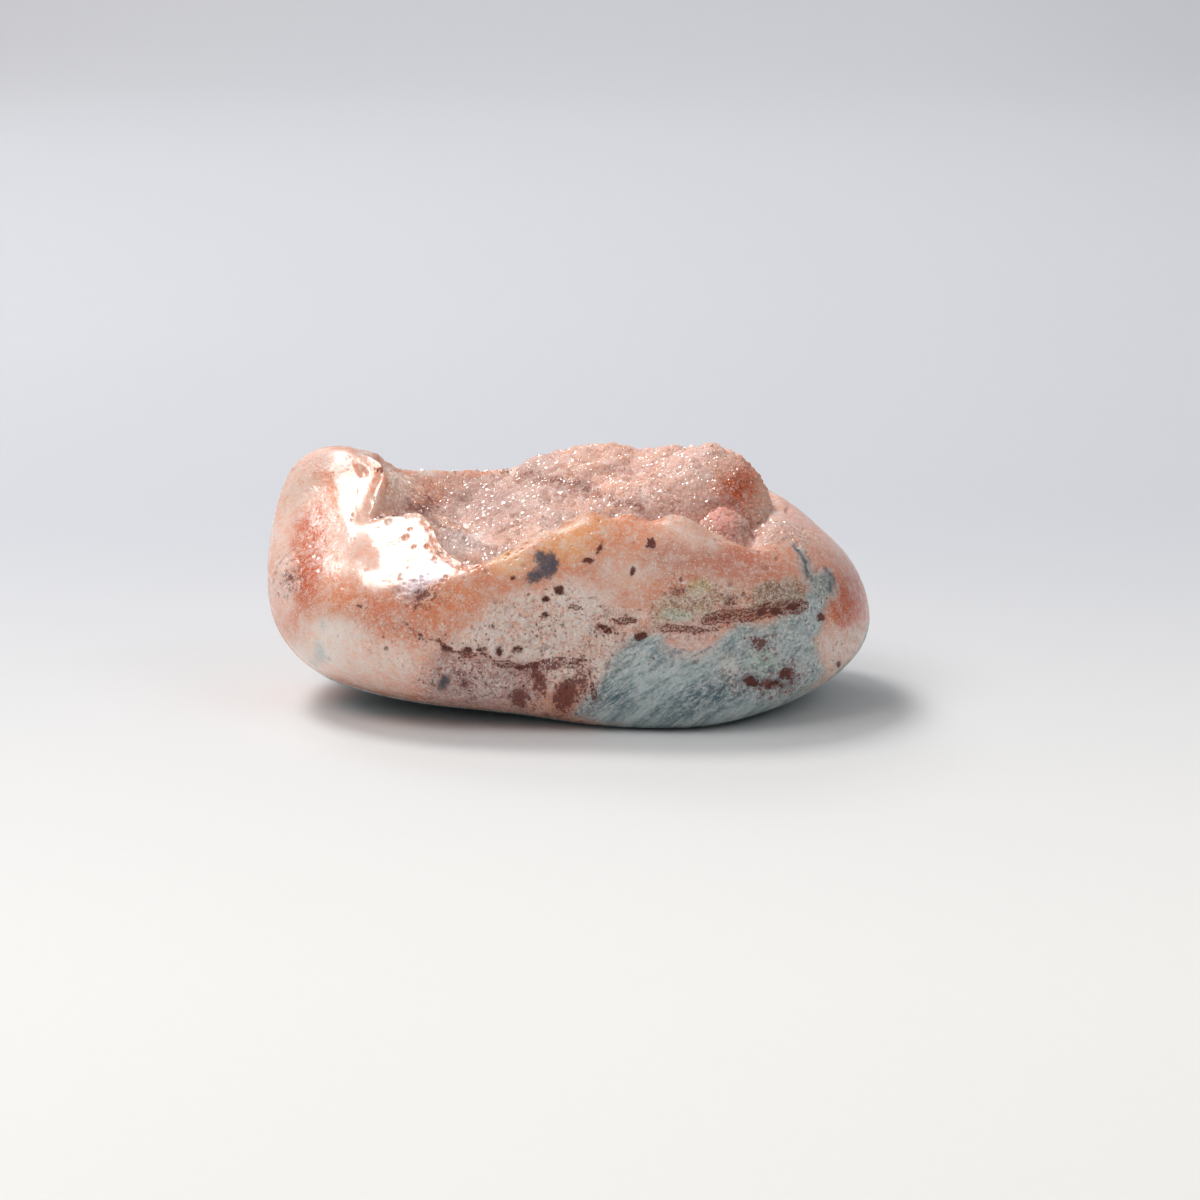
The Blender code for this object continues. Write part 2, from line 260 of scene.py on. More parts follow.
def side_surface(azimuth, upper, lower):
    """The polished side as a grid of points: rows from the crest to the foot, columns round the stone."""
    lip_radius, lip_height, _ = around(CREST, azimuth)
    crest_radius, crest_height, slope = around([row for row in CREST if row[0] not in NOTCH], azimuth)
    girth_radius, girth_height, upper_full, lower_full = around(GIRTH, azimuth)
    (foot_radius,) = around(FOOT, azimuth)
    slope = np.radians(slope)
    pull = upper_full * (girth_radius - crest_radius)
    radii = (crest_radius, crest_radius + np.cos(slope) * pull, girth_radius, girth_radius)
    above = girth_height + upper_full * (crest_height - girth_height)
    heights = (crest_height, crest_height - np.sin(slope) * pull, above, girth_height)
    radius = [bezier(radii, upper)]
    height = [bezier(heights, upper)]
    below = girth_height * (1 - lower_full)
    foot_pull = foot_radius + lower_full * (girth_radius - foot_radius)
    radius.append(bezier((girth_radius, girth_radius, foot_pull, foot_radius), lower)[1:])
    height.append(bezier((girth_height, below, 0 * below, 0 * below), lower)[1:])
    radius, height = np.vstack(radius), np.vstack(height)
    near_lip = np.exp(-((np.append(upper, 1 + lower[1:]) / NOTCH_REACH) ** 2))[:, None]
    radius += near_lip * (lip_radius - crest_radius)
    height += near_lip * (lip_height - crest_height)
    calm = np.minimum(1, height / EDGE_FADE) * np.minimum(1, (crest_height - height) / EDGE_FADE)
    behind = np.maximum(0, np.sin(np.radians(azimuth)))
    points = turned(azimuth[None, :], radius, height)
    flat = points.reshape(-1, 3)
    ripple = np.array([noise.noise(Vector(p) / RIPPLE_SIZE) for p in flat]).reshape(radius.shape)
    swell = np.array([noise.noise(Vector(p) / BACK_SWELL_SIZE) for p in flat]).reshape(radius.shape)
    uneven = calm * (RIPPLE * ripple + BACK_SWELL * behind * swell)
    return turned(azimuth[None, :], radius + uneven, height)


def crust_height(x, y):
    """The height of the crystal lining over points inside the crest."""
    crest_radius, crest_height, _ = around(CREST, azimuth_of(x, y))
    share = np.minimum(1, np.hypot(x, y) / crest_radius)
    height = HOLLOW_FLOOR + (crest_height - LIP_DROP - HOLLOW_FLOOR) * share**HOLLOW_POWER
    for dome_x, dome_y, base, radius_x, radius_y, rise, turn in DOMES.values():
        angle = math.radians(turn)
        along = ((x - dome_x) * math.cos(angle) + (y - dome_y) * math.sin(angle)) / radius_x
        across = ((y - dome_y) * math.cos(angle) - (x - dome_x) * math.sin(angle)) / radius_y
        inside = np.maximum(0, 1 - along**2 - across**2)
        dome = np.where(inside > 0, base + rise * np.sqrt(inside), -100)
        blend = np.maximum(0, 1 - np.abs(dome - height) / DOME_BLEND)
        height = np.maximum(dome, height) + DOME_BLEND * blend**2 / 4
    return height


def lining(x, y):
    """The crystal lining with its small lumps, sunk to where the crystals root."""
    points = stacked(x, y, 0)
    calm = smooth(0, 4, around(CREST, azimuth_of(x, y))[0] - np.hypot(x, y))
    lumps = 0.45 * rough(points, 3.6, 21, 3) + 0.5 * np.abs(lattice(points, 1.7, 25)) - 0.3
    return crust_height(x, y) - BED_DEPTH + calm * lumps


def front_view(points):
    """Where points show in the photograph, in mm right of and above the origin; the way to the viewer."""
    rise = math.radians(VIEW_ELEVATION)
    ahead = np.array((0, math.cos(rise), -math.sin(rise)))
    up = np.array((0, math.sin(rise), math.cos(rise)))
    target = np.array(VIEW_TARGET)
    eye = target - VIEW_DISTANCE * ahead

    def shown(places):
        places = places - eye
        return VIEW_DISTANCE * stacked(places[..., 0], places @ up) / (places @ ahead)[..., None]

    return shown(points) - shown(np.zeros(3)), unit(eye - points)


def line_distance(places, corners):
    """How far each place is from a bent line through these corners."""
    nearest = np.full(len(places), 1e9)
    corners = np.array(corners, float)
    for a, b in zip(corners, corners[1:]):
        along = np.clip(((places - a) @ (b - a)) / max((b - a) @ (b - a), 1e-9), 0, 1)
        nearest = np.minimum(nearest, np.linalg.norm(places - a - along[:, None] * (b - a), axis=1))
    return nearest


def region(places, corners):
    """How far inside a closed outline each place is; negative outside it."""
    inside = np.zeros(len(places), bool)
    for (ax, ay), (bx, by) in zip(corners, corners[1:] + corners[:1]):
        crosses = (ay > places[:, 1]) != (by > places[:, 1])
        meets = (bx - ax) * (places[:, 1] - ay) / (by - ay if by != ay else 1e-9) + ax
        inside ^= crosses & (places[:, 0] < meets)
    distance = line_distance(places, list(corners) + [corners[0]])
    return np.where(inside, distance, -distance)


def spot(places, right, above, across, up, turn=0):
    """How far out each place lies in an oval spot: 0 at its centre, 1 on its edge."""
    angle = math.radians(turn)
    aside, over = places[:, 0] - right, places[:, 1] - above
    long_way = (aside * math.cos(angle) + over * math.sin(angle)) / across
    short_way = (over * math.cos(angle) - aside * math.sin(angle)) / up
    return np.hypot(long_way, short_way)


def unevenly(places, points, size, amount, seed):
    """The places shifted at random, so that an edge measured from them wanders."""
    return places + amount * stacked(rough(points, size, seed), rough(points, size, seed + 50))


def field(places, spots=(), lines=()):
    """How far inside the nearest spot or line each place is, in millimetres; negative outside."""
    nearest = np.full(len(places), FAR_OUTSIDE)
    for oval in spots:
        nearest = np.maximum(nearest, (1 - spot(places, *oval)) * min(oval[2:4]))
    for corners, half_width in lines:
        nearest = np.maximum(nearest, half_width - line_distance(places, corners))
    return nearest


def layer(colours, amount, colour):
    """Lays a colour over the others by this share."""
    amount = np.clip(amount, 0, 1)[:, None]
    return colours * (1 - amount) + np.asarray(colour) * amount


def tinted(colours, places, share, tints):
    """Lays soft oval tints over the colours."""
    for *oval, outer, inner, strength, tone in tints:
        colours = layer(colours, strength * share * smooth(outer, inner, spot(places, *oval)), tone)
    return colours


SALMON = srgb(228, 162, 134)
BLUSH = srgb(240, 206, 190)
APRICOT = srgb(236, 150, 104)
GOLD = srgb(246, 178, 120)
PALE_PINK = srgb(246, 212, 200)
CREAMY = srgb(252, 234, 225)
ROSE = srgb(218, 152, 130)
TEAL_GREY = srgb(178, 194, 194)
DEEP_TEAL = srgb(70, 100, 113)
PALE_TEAL = srgb(216, 224, 222)
MINT = srgb(168, 190, 168)
OLIVE_GREY = srgb(178, 164, 132)
SLATE = srgb(78, 80, 92)
RUST = srgb(168, 78, 60)
DRIED_RED = srgb(114, 30, 20)
TAN_CHIP = srgb(164, 108, 80)
BRIGHT_SPECK = srgb(250, 240, 232)
DARK_RED = srgb(108, 46, 32)
GREY_MAUVE = srgb(196, 164, 164)
PORE_BROWN = srgb(122, 66, 48)
FROST = srgb(240, 226, 218)

# Marks on the front, in millimetres right of and above the origin as the photograph shows them.
TEAL = [
    (0.8, -3.2), (1.8, -1.2), (3.8, 1.2), (5.2, 3.4), (6.2, 5), (7.8, 6.2), (12.3, 6.4), (16.3, 6),
    (19.7, 6.9), (21.3, 7.8), (25.4, 8.3), (28.8, 10), (30.9, 13.3), (32.5, 14.6), (33.1, 12.4),
    (31.6, 10), (31.2, 7.8), (30.4, 5.9), (31.5, 2.1), (29.6, -0.9), (25.4, -2.9), (19.2, -4.4),
    (11, -4.8), (4.7, -4.2),
]
TONGUE = [
    (27.9, 18.2), (28.9, 18), (29.9, 16.2), (30.4, 14.8), (32.3, 14.8), (33.1, 12.6), (31.8, 10.6),
    (30.3, 11.2), (29.6, 13.7), (28.8, 15.6),
]
CREAM = [
    (-7.7, 10.3), (-4.9, 11.6), (-2.4, 12.5), (0.5, 12.8), (3.9, 11.6), (6.7, 10), (9.5, 9.6), (6, 8.7),
    (3.5, 7.8), (5.6, 6.2), (5.1, 2.5), (2.6, 0.4), (-4.5, 1.5), (-4.5, 3), (-14.4, 5.8), (-12, 8),
]
OLIVE = [
    (10.5, 11.5), (14.3, 11.8), (17.9, 13.7), (20.4, 11.6), (23.8, 12.4), (28.8, 13.7), (28.8, 11.2),
    (23, 9.3), (10.5, 8.2),
]
MAUVE = [
    (-15.5, 4.4), (-11, 3.8), (-4.5, 3.2), (-3.5, 1), (-5, -1.8), (-10, -2), (-17.4, -1.2),
    (-17, 1.5),
]
PALE_RIGHT = [(31.5, 6.5), (34.5, 7), (37, 8), (34, 1), (30, -1.5), (30.5, 2)]

# Soft zones of colour, a few of them painted light or shade as noted below: right, above, half width, half
# height, turn, strength, colour.
ZONES = (
    (-36.4, 16.2, 2.4, 10, 0, 0.8, PALE_PINK), (-32.4, 17.6, 3, 8.5, -5, 0.95, srgb(206, 100, 56)),
    (-33.5, 25.5, 3.5, 3.5, 0, 0.6, BLUSH), (-30.7, 29.2, 4.5, 2.4, 0, 0.8, PALE_PINK),
    (-26.5, 20, 4.5, 6.5, 0, 0.6, BLUSH), (-25, 17, 2.6, 2.2, 0, 0.6, SALMON),
    (-28.5, 12, 4, 3.5, 0, 0.5, APRICOT), (-29, 5.4, 7, 5, 0, 1, BRIGHT_SPECK),
    (-21, 9.2, 6, 3.6, -20, 0.8, srgb(228, 142, 106)),
    (-23, 3.4, 8, 4.2, -12, 0.9, srgb(250, 222, 210)),
    (-11, 0.5, 7, 3, -8, 0.8, srgb(240, 212, 204)),
    (14, 7.8, 8.5, 1.5, 6, 0.9, srgb(222, 186, 176)), (4.6, 4.5, 2.4, 4.5, 0, 0.8, srgb(226, 200, 190)),
    # The lavender oval at (-18.3, 14.5) is a painted reflection: pale sky at the edge of the window's
    # reflection on the left lobe.
    (-18.3, 14.5, 4.2, 1.9, 35, 0.85, srgb(236, 220, 238)), (-14.8, 11.4, 5.5, 3.5, 20, 0.85, APRICOT),
    (-31.2, 4.2, 0.9, 2.4, 8, 0.7, TEAL_GREY), (-31, 8.1, 0.6, 1, 0, 0.5, TEAL_GREY),
    (1, 18.8, 7.5, 3.4, 16, 0.9, GOLD), (-7.7, 15.8, 3.6, 2.2, 27, 0.95, srgb(252, 196, 150)),
    (-5, 19.2, 4, 1.3, 22, 0.6, PALE_PINK), (7.5, 18.2, 6.5, 3.4, 0, 0.75, srgb(238, 156, 116)),
    (13.8, 16.2, 5.5, 3.2, -4, 0.8, srgb(204, 138, 116)),
    (21.5, 15.4, 6.5, 3.4, -12, 0.85, srgb(206, 124, 98)),
    (26, 12, 4, 1.8, 5, 0.9, srgb(128, 94, 70)), (17, 19.5, 4, 1.8, -20, 0.6, BLUSH),
    (27, 19.8, 4.2, 2.2, -18, 0.85, srgb(198, 154, 144)), (32.5, 16.2, 3.2, 3.2, 0, 0.7, ROSE),
    # The deep orange oval at the right end is partly the rock's orange and partly painted shade: it is
    # darker where the hump shades that end.
    (35.2, 11, 3.6, 5.4, 0, 0.95, srgb(198, 86, 30)),
)

# Tints in the olive zone and the grey-green rock. The two values after the turn say where the fade begins
# and ends, as shares of the oval.
OLIVE_TINTS = (
    (26.2, 12, 3.8, 1.7, 5, 1.1, 0.4, 0.55, srgb(146, 100, 76)),
    (16, 12.6, 2.1, 1.4, 0, 1, 0.5, 0.7, srgb(206, 190, 140)),
    (13.5, 9.2, 2.9, 1.2, 0, 1, 0.4, 0.8, MINT),
)
DEEP_TINTS = (
    (17.5, -1, 9, 3.2, 8, 1.1, 0.2, 0.85, DEEP_TEAL),
    (6, -0.6, 3.5, 2.4, 0, 1.1, 0.3, 0.6, DEEP_TEAL),
)
PALE_TINTS = (
    (24, 3.7, 2.8, 1.8, 0, 1, 0.4, 0.7, MINT),
    (20, 3.3, 1.9, 1.9, 0, 1, 0.4, 0.5, CREAMY),
)
PINK_TINT = ((15.2, 5.4, 4.4, 2.2, 0, 1.1, 0.4, 0.85, srgb(224, 192, 184)),)
TONGUE_TINT = srgb(132, 136, 124)

# Where the surface differs: right, above, half width, half height, turn.
PINK_INSET = (15, 5.9, 3.8, 1.2)
GRITTY_PATCH = (-20, 6, 12, 6.5, -15)
SUGARY_PATCH = (27, 19.6, 4.2, 2, -18)
WORN_PATCH = (-25.4, 17.2, 1.5, 2.3, 20)
DULL_CAP = (-32.6, 29.4, 3.3, 1.6, 12)
TONGUE_INSET = 0.3

# Where the fade of a zone begins and ends, as shares of its oval.
ZONE_FADE = (1.15, 0.25)

# Slate, rust and near-black marks: right, above, half width, half height and perhaps a turn.
SLATE_SPOTS = (
    (-2.5, 15.5, 1.2, 1.6, -20), (-3.3, 16.5, 0.9, 0.8), (-4.1, 14.2, 1.4, 0.8, 25),
    (-15.6, 0.6, 1, 0.7, 60),
)
SLATE_LINES = (
    (((28, 18), (29.3, 16.2), (29.8, 14.3)), 0.2),
    (((31.9, 15), (32.9, 14), (32.7, 12.2)), 0.24),
)
RUST_SPOTS = (
    (-0.4, -0.8, 1.5, 2.4, -22), (-6.2, -1.1, 1.1, 1.4, 10), (-3.9, 1.2, 1, 2.2, 5),
    (-4.4, 2.7, 1.9, 0.7, 8), (2, 0.7, 0.7, 1.5, -8), (1, 3.3, 1.4, 0.6), (-1.4, 3.4, 1.6, 0.6, 12),
    (0.9, 1.4, 0.9, 0.6, 40), (-12.9, 0.5, 0.6, 0.8, 40), (4.3, 7.3, 1.1, 0.6), (24.9, 0.6, 2.6, 0.7, -10),
    (27.6, 1.9, 0.9, 0.9), (24, 5.7, 1, 0.75, -35), (13.6, 12.2, 0.6, 0.5), (20.2, 11.1, 0.7, 0.5, 20),
    (-18.5, 11.9, 0.8, 0.5, 10), (-35.2, 14.2, 0.5, 0.7),
)
CRACKS = (
    (((0.3, 10.3), (1.5, 10.3)), 0),
    (((3.9, 9), (5, 8.9), (6.6, 8.7), (8, 8.5)), 0.1),
    (((8.8, 7), (10.6, 7.5), (12.7, 7.6), (15.1, 7.3), (17.4, 7.3), (18.9, 7.6), (20, 8.2)), 0.15),
    (((17.4, 8.5), (19.2, 9.1), (21.3, 9.2), (23.7, 9.7), (25.4, 10), (27.3, 10.1), (28.8, 10.5)), 0.6),
    (((-21, 8.3), (-19, 7.3), (-17.7, 6.6), (-16.1, 6), (-15.2, 4.9)), 0.1),
    (((-15.2, 4.9), (-13.6, 4.5), (-11.3, 4.2), (-9.5, 3.6), (-7.5, 3.2), (-5.2, 2.9), (-4.1, 2.6)), 0.1),
    (((-5.2, 2.9), (-4, 3.3), (-2.6, 3.7)), 0.3),
    (((0, 3.5), (2, 3.5)), 0.1),
    (((2.6, 2.4), (3, 0.8), (3.4, -1.2)), 0.05),
    (((-14, 1.8), (-12.6, 2.2), (-11.6, 1.2)), 0.05),
)
DARK_SPOTS = (
    (10.1, 18.3, 0.55, 0.6), (3.9, 17.8, 0.3, 0.6, -30), (2.4, 16.3, 0.55, 0.3), (8, 14.6, 0.3, 0.5),
    (-7.1, 14.1, 0.45, 0.3), (-1.2, 12.5, 0.62, 0.55), (-3, 11.4, 0.5, 0.42), (-3, 9.3, 0.38, 0.3),
    (-23.7, 27.6, 0.6, 0.35), (-26, 10.6, 0.25, 0.25), (-22.9, 5.2, 0.3, 0.3), (9.1, 6.7, 0.95, 0.5, 8),
    (4, 7.8, 0.5, 0.35), (4.9, 7.3, 0.5, 0.35, 30), (22.7, 1, 1, 0.55, -15),
    (25.8, 0.5, 0.8, 0.45, 10), (27, 1.8, 0.7, 0.6), (-15.2, 4.8, 0.6, 0.45), (-12.7, 4.9, 0.5, 0.35),
    (-11.3, 4.8, 0.6, 0.4), (-8.7, 4.9, 0.45, 0.6), (-6.3, 4.9, 0.7, 0.4), (26, 9.9, 0.8, 0.35, 10),
    (28.3, 10.4, 0.6, 0.35), (24, 9.7, 0.6, 0.3, 10), (31.3, 9, 0.4, 0.4), (33.6, 3.2, 0.35, 0.3),
)

# Hollows worn into the front: right, above, radius, depth.
FRONT_PITS = (
    (-35.4, 14.2, 0.6, 0.3), (-25.7, 27.2, 0.7, 0.35), (-23.6, 26.6, 0.5, 0.3), (-18.5, 11.9, 0.9, 0.35),
    (-21.4, 12.2, 0.7, 0.3), (-18.6, 10.5, 0.5, 0.3), (-1.2, 12.5, 0.75, 0.5), (-3, 11.4, 0.55, 0.4),
    (-3, 9.3, 0.4, 0.3), (-15.2, 4.7, 0.8, 0.5), (-12.5, 4.9, 0.8, 0.45), (-10.6, 4.8, 0.8, 0.5),
    (-8.6, 4.9, 0.7, 0.5), (-6.3, 4.9, 0.8, 0.5), (-7.6, 1.4, 1.2, 0.6), (-4.8, 1.2, 0.9, 0.5),
    (4.4, 7.5, 0.9, 0.4), (9.1, 6.7, 1.1, 0.5), (23.1, 1, 1.2, 0.6), (25.9, 0.6, 1.1, 0.6),
    (27.2, 1.8, 0.8, 0.4), (24.1, 5.6, 1.1, 0.3), (26.2, 9.9, 1.3, 0.4), (28.4, 10.2, 0.8, 0.4),
    (-23, 4, 0.9, 0.2),
)
# Small open pores: tries, radii, share and size of the large ones.
PORE_TRIES = 6500
PORE_RADII = (0.13, 0.26)
LARGE_PORES = 0.12
LARGE_PORE_SIZE = 1.8
GROOVE_DEPTH = 0.35
# The grey porous patch lies this far below the pitted edge above it.
LEDGE_DEPTH = 0.5
WEATHERING = 0.12


def small_pits(places, porous, rng):
    """Small open pores, thick where the rock is porous: right, above, radius, depth."""
    chosen = rng.integers(0, len(places), PORE_TRIES)
    keep = rng.random(PORE_TRIES) < 0.03 + 0.9 * porous[chosen]
    sizes = rng.uniform(*PORE_RADII, PORE_TRIES)
    sizes *= np.where(rng.random(PORE_TRIES) < LARGE_PORES, LARGE_PORE_SIZE, 1)
    depths = sizes * rng.uniform(0.5, 1, PORE_TRIES)
    return [(*places[i], size, deep) for i, size, deep, kept in zip(chosen, sizes, depths, keep) if kept]


def dent(places, pits):
    """How deep the pits go at each place."""
    depth = np.zeros(len(places))
    order = np.argsort(places[:, 0])
    across = places[order, 0]
    for right, above, radius, deep in pits:
        first, last = np.searchsorted(across, (right - 1.3 * radius, right + 1.3 * radius))
        near = order[first:last]
        far_out = np.hypot(places[near, 0] - right, places[near, 1] - above) / radius
        depth[near] = np.maximum(depth[near], deep * smooth(1.15, 0.35, far_out))
    return depth


def paint_stone(points, normals, from_crest, rng):
    """What each point of the stone's side carries: its colour, with a painted reflection and painted shade
    in some zones, its marks and how deep it is worn.
    """
    places, to_eye = front_view(points)
    towards_eye = (normals * to_eye).sum(axis=1)
    facing = smooth(-0.02, 0.22, towards_eye)
    shown = facing * smooth(12, 4, points[:, 1])
    wander = unevenly(places, points, 4, 0.9, 60)
    bent = unevenly(places, points, 2, 0.3, 70)
    ragged = unevenly(places, points, 2.6, 0.55, 75)

    colour = np.tile(SALMON, (len(points), 1))
    colour = layer(colour, smooth(-0.1, 0.8, rough(points, 7, 31)), BLUSH)
    colour = layer(colour, 0.8 * smooth(0.1, 0.75, rough(points, 9, 41)), APRICOT)

    # The back and the ends, which the photograph doesn't show: the same rock in broad zones.
    low = 7 - points[:, 2] + 5 * rough(points, 12, 45) + 0.1 * points[:, 0]
    back_cream = (1 - shown) * smooth(0.05, 0.5, rough(points, 8, 49))
    colour = layer(colour, 0.8 * back_cream, CREAMY)

    for *oval, strength, tone in ZONES:
        colour = layer(colour, shown * strength * smooth(*ZONE_FADE, spot(wander, *oval)), tone)
    cream = smooth(-1.6, 1, region(wander, CREAM)) * shown
    pale = smooth(-1.5, 0.8, region(wander, PALE_RIGHT)) * shown
    mauve = smooth(-2.2, 1.4, region(wander, MAUVE)) * shown
    olive = smooth(-1, 0.6, region(wander, OLIVE)) * shown
    for amount, tone in (
        (0.9 * cream, CREAMY),
        (0.35 * cream * smooth(0, 0.6, rough(points, 2.6, 81)), SALMON),
        (0.7 * pale, FROST),
        (0.7 * mauve, GREY_MAUVE),
        (0.75 * olive * smooth(-0.5, 0.3, rough(points, 2.6, 85)), OLIVE_GREY),
    ):
        colour = layer(colour, amount, tone)
    colour = tinted(colour, bent, shown, OLIVE_TINTS)

    # The grey-green rock: inside it the tint says which kind it is.
    under_band = -3.6 + 0.09 * (places[:, 0] - 12) - places[:, 1]
    under_band = np.where((places[:, 0] > 1.5) & (places[:, 0] < 31), under_band, FAR_OUTSIDE)
    tongue = region(bent, TONGUE) - TONGUE_INSET
    teal = region(ragged, TEAL) - 2.2 * smooth(1.1, 0.4, spot(bent, *PINK_INSET))
    teal = np.maximum(np.maximum(teal, tongue), under_band)
    teal = np.where(shown > 0.5, teal, np.minimum(low, 3))
    in_teal = smooth(-1, 0.5, teal)
    seen_teal = shown * in_teal
    colour = layer(colour, in_teal, TEAL_GREY)
    colour = tinted(colour, wander, seen_teal, DEEP_TINTS)
    colour = tinted(colour, bent, seen_teal, PALE_TINTS)
    colour = tinted(colour, bent, shown, PINK_TINT)
    colour = layer(colour, 0.75 * smooth(-0.1, 0.4, tongue) * shown, TONGUE_TINT)

    marks = {
        "teal": teal,
        "slate": field(bent, SLATE_SPOTS, SLATE_LINES),
        "rust": field(bent, RUST_SPOTS),
        "crack": field(bent, lines=CRACKS) + 0.35 * rough(points, 2.4, 83, 3),
        "dark": field(bent, DARK_SPOTS),
    }
    for mark in ("slate", "rust", "crack", "dark"):
        marks[mark] = np.where(shown > 0.5, marks[mark], FAR_OUTSIDE)
    broken = np.maximum(marks["crack"], marks["rust"])

    azimuth = azimuth_of(points[:, 0], points[:, 1])
    lip_wear = smooth(2.6, 0, from_crest) * smooth(180, 196, azimuth) * smooth(246, 232, azimuth)
    gritty = smooth(1.3, 0.3, spot(wander, *GRITTY_PATCH)) * shown
    laced = seen_teal * smooth(-1, 5, places[:, 1] - 0.1 * places[:, 0])
    porous = cream + mauve + 0.8 * olive + 0.5 * (laced + pale + back_cream) + 0.2 * gritty + 0.1 * lip_wear
    porous = np.clip(np.maximum(porous, 0.9 * smooth(-2.2, 0, broken)), 0, 1)
    sugary = smooth(1.2, 0.5, spot(wander, *SUGARY_PATCH)) * shown
    worn = smooth(1.2, 0.4, spot(wander, *WORN_PATCH)) * shown
    dull_rim = np.exp(-((from_crest / 1.3) ** 2)) * smooth(243, 250, azimuth)
    matt = np.clip(0.8 * (porous + worn + dull_rim) + in_teal + sugary, 0, 1)
    matt += smooth(1.3, 0.7, spot(bent, *DULL_CAP)) * shown
    marks |= {"porous": porous, "matt": matt}

    front = np.flatnonzero(facing > 0.1)
    open_rock = porous * (1 - 0.7 * in_teal) * shown
    pits = small_pits(places[front], open_rock[front], rng) + list(FRONT_PITS)
    depth = np.zeros(len(points))
    depth[front] = dent(places[front], pits)
    depth = shown * np.maximum(depth, GROOVE_DEPTH * smooth(-0.3, 0.3, broken))
    lean = (EDGE_HIGH[0] - EDGE_LOW[0]) / (EDGE_HIGH[1] - EDGE_LOW[1])
    past_edge = EDGE_LOW[0] + lean * (places[:, 1] - EDGE_LOW[1]) - places[:, 0]
    past_edge = 0.5 * (past_edge + np.sqrt(past_edge**2 + 0.4)) / EDGE_WIDTH
    turn_away = EDGE_DEPTH * (1 - np.exp(-past_edge)) * smooth(0, 0.45, towards_eye)
    depth += turn_away * smooth(5, 12, places[:, 1]) * smooth(4, 0, points[:, 1])
    in_ledge = smooth(-0.15, 0.35, region(bent, MAUVE)) * smooth(-1.5, 3.5, places[:, 1])
    depth += LEDGE_DEPTH * shown * in_ledge
    depth += WEATHERING * porous * (1 + rough(points, 1.3, 95, 2))
    depth += WEATHERING * sugary * (1 + rough(points, 0.8, 97, 2))
    return colour, marks, depth, sugary


def grid_normals(points):
    """Normals of a grid whose rows run down and whose columns close into a ring."""
    down = np.gradient(points, axis=0)
    across = np.roll(points, -1, axis=1) - np.roll(points, 1, axis=1)
    return unit(np.cross(down, across))


def columns():
    front = np.linspace(FRONT_FROM, FRONT_TO, FRONT_COLUMNS, endpoint=False)
    back = np.linspace(FRONT_TO, FRONT_FROM + 360, BACK_COLUMNS, endpoint=False)
    return np.concatenate([front, back])


def new_object(name, points, faces, colours, marks, material, shade_smooth):
    mesh = bpy.data.meshes.new(name)
    mesh.from_pydata((np.asarray(points) * MM).tolist(), [], faces)
    tint = mesh.color_attributes.new("tint", "FLOAT_COLOR", "POINT")
    tint.data.foreach_set("color", np.hstack([colours, np.ones((len(colours), 1))]).ravel())
    for mark, values in marks.items():
        mesh.attributes.new(mark, "FLOAT", "POINT").data.foreach_set("value", values)
    mesh.materials.append(material)
    if shade_smooth:
        mesh.shade_smooth()
    thing = bpy.data.objects.new(name, mesh)
    bpy.context.collection.objects.link(thing)
    return thing


def ring_quads(first, second):
    following = (np.arange(len(first)) + 1) % len(first)
    return [(first[i], second[i], second[j], first[j]) for i, j in enumerate(following)]


def make_stone(material, rng):
    azimuth = columns()
    count = len(azimuth)
    upper = np.linspace(0, 1, UPPER_ROWS + 1) ** CREST_CROWDING
    side = side_surface(azimuth, upper, np.linspace(0, 1, LOWER_ROWS + 1))
    normals = grid_normals(side)
    from_crest = np.linalg.norm(side - side[0], axis=-1).ravel()
    flat, flat_normals = side.reshape(-1, 3), normals.reshape(-1, 3)
    colour, marks, depth, sugar = paint_stone(flat, flat_normals, from_crest, rng)
    rows_up = len(side) - 1 - np.arange(len(side))
    flat = flat - flat_normals * (depth * np.repeat(np.minimum(1, rows_up / 3), count))[:, None]
    worn = CREST_ROUNDING + CREST_UNEVEN * rough(flat, 2.6, 55, 3)
    flat[:, 2] -= worn * np.exp(-((from_crest / 1.1) ** 2))

    crest_radius, _, _ = around(CREST, azimuth)
    bed = []
    for row in range(BED_ROWS):
        radius = (crest_radius - LIP) * (1 - row / BED_ROWS) ** 0.9
        x, y = radius * np.cos(np.radians(azimuth)), radius * np.sin(np.radians(azimuth))
        bed.append(stacked(x, y, lining(x, y)))
    bed = np.concatenate(bed)
    middle = [[0, 0, lining(np.zeros(1), np.zeros(1))[0]]]
    points = np.vstack([flat, bed, middle, np.zeros((1, 3))])

    rows = [list(range(start, start + count)) for start in range(0, len(flat) + len(bed), count)]
    side_rows, bed_rows = rows[: len(side)], rows[len(side) :]
    faces = []
    for above, below in zip(side_rows, side_rows[1:]):
        faces += ring_quads(above, below)
    faces += ring_quads(bed_rows[0], side_rows[0])
    for outer, inner in zip(bed_rows, bed_rows[1:]):
        faces += ring_quads(inner, outer)
    centre, bottom = len(points) - 2, len(points) - 1
    for i in range(count):
        j = (i + 1) % count
        faces.append((bed_rows[-1][i], bed_rows[-1][j], centre))
        faces.append((side_rows[-1][j], side_rows[-1][i], bottom))

    bed_points = np.vstack([bed, middle])
    bed_colour = paint_crust(bed_points) * 0.9
    inside = np.append(np.tile(crest_radius, BED_ROWS), crest_radius[0])
    inside -= np.hypot(bed_points[:, 0], bed_points[:, 1])
    near_lip = smooth(*LIP_TINT, inside)[:, None]
    lip_colour = np.vstack([np.tile(colour[:count], (BED_ROWS, 1)), colour[:1]])
    bed_colour = bed_colour * (1 - near_lip) + lip_colour * near_lip
    colours = np.vstack([colour, bed_colour, TEAL_GREY[None, :]])
    extra = len(bed_points) + 1
    plain = dict.fromkeys(marks, FAR_OUTSIDE) | BED_MARKS
    marks = {mark: np.append(values, np.full(extra, plain[mark])) for mark, values in marks.items()}
    sugary = np.flatnonzero(sugar > 0.5)
    stone = new_object("polished_stone", points, faces, colours, marks, material, True)
    return stone, flat[sugary], flat_normals[sugary]
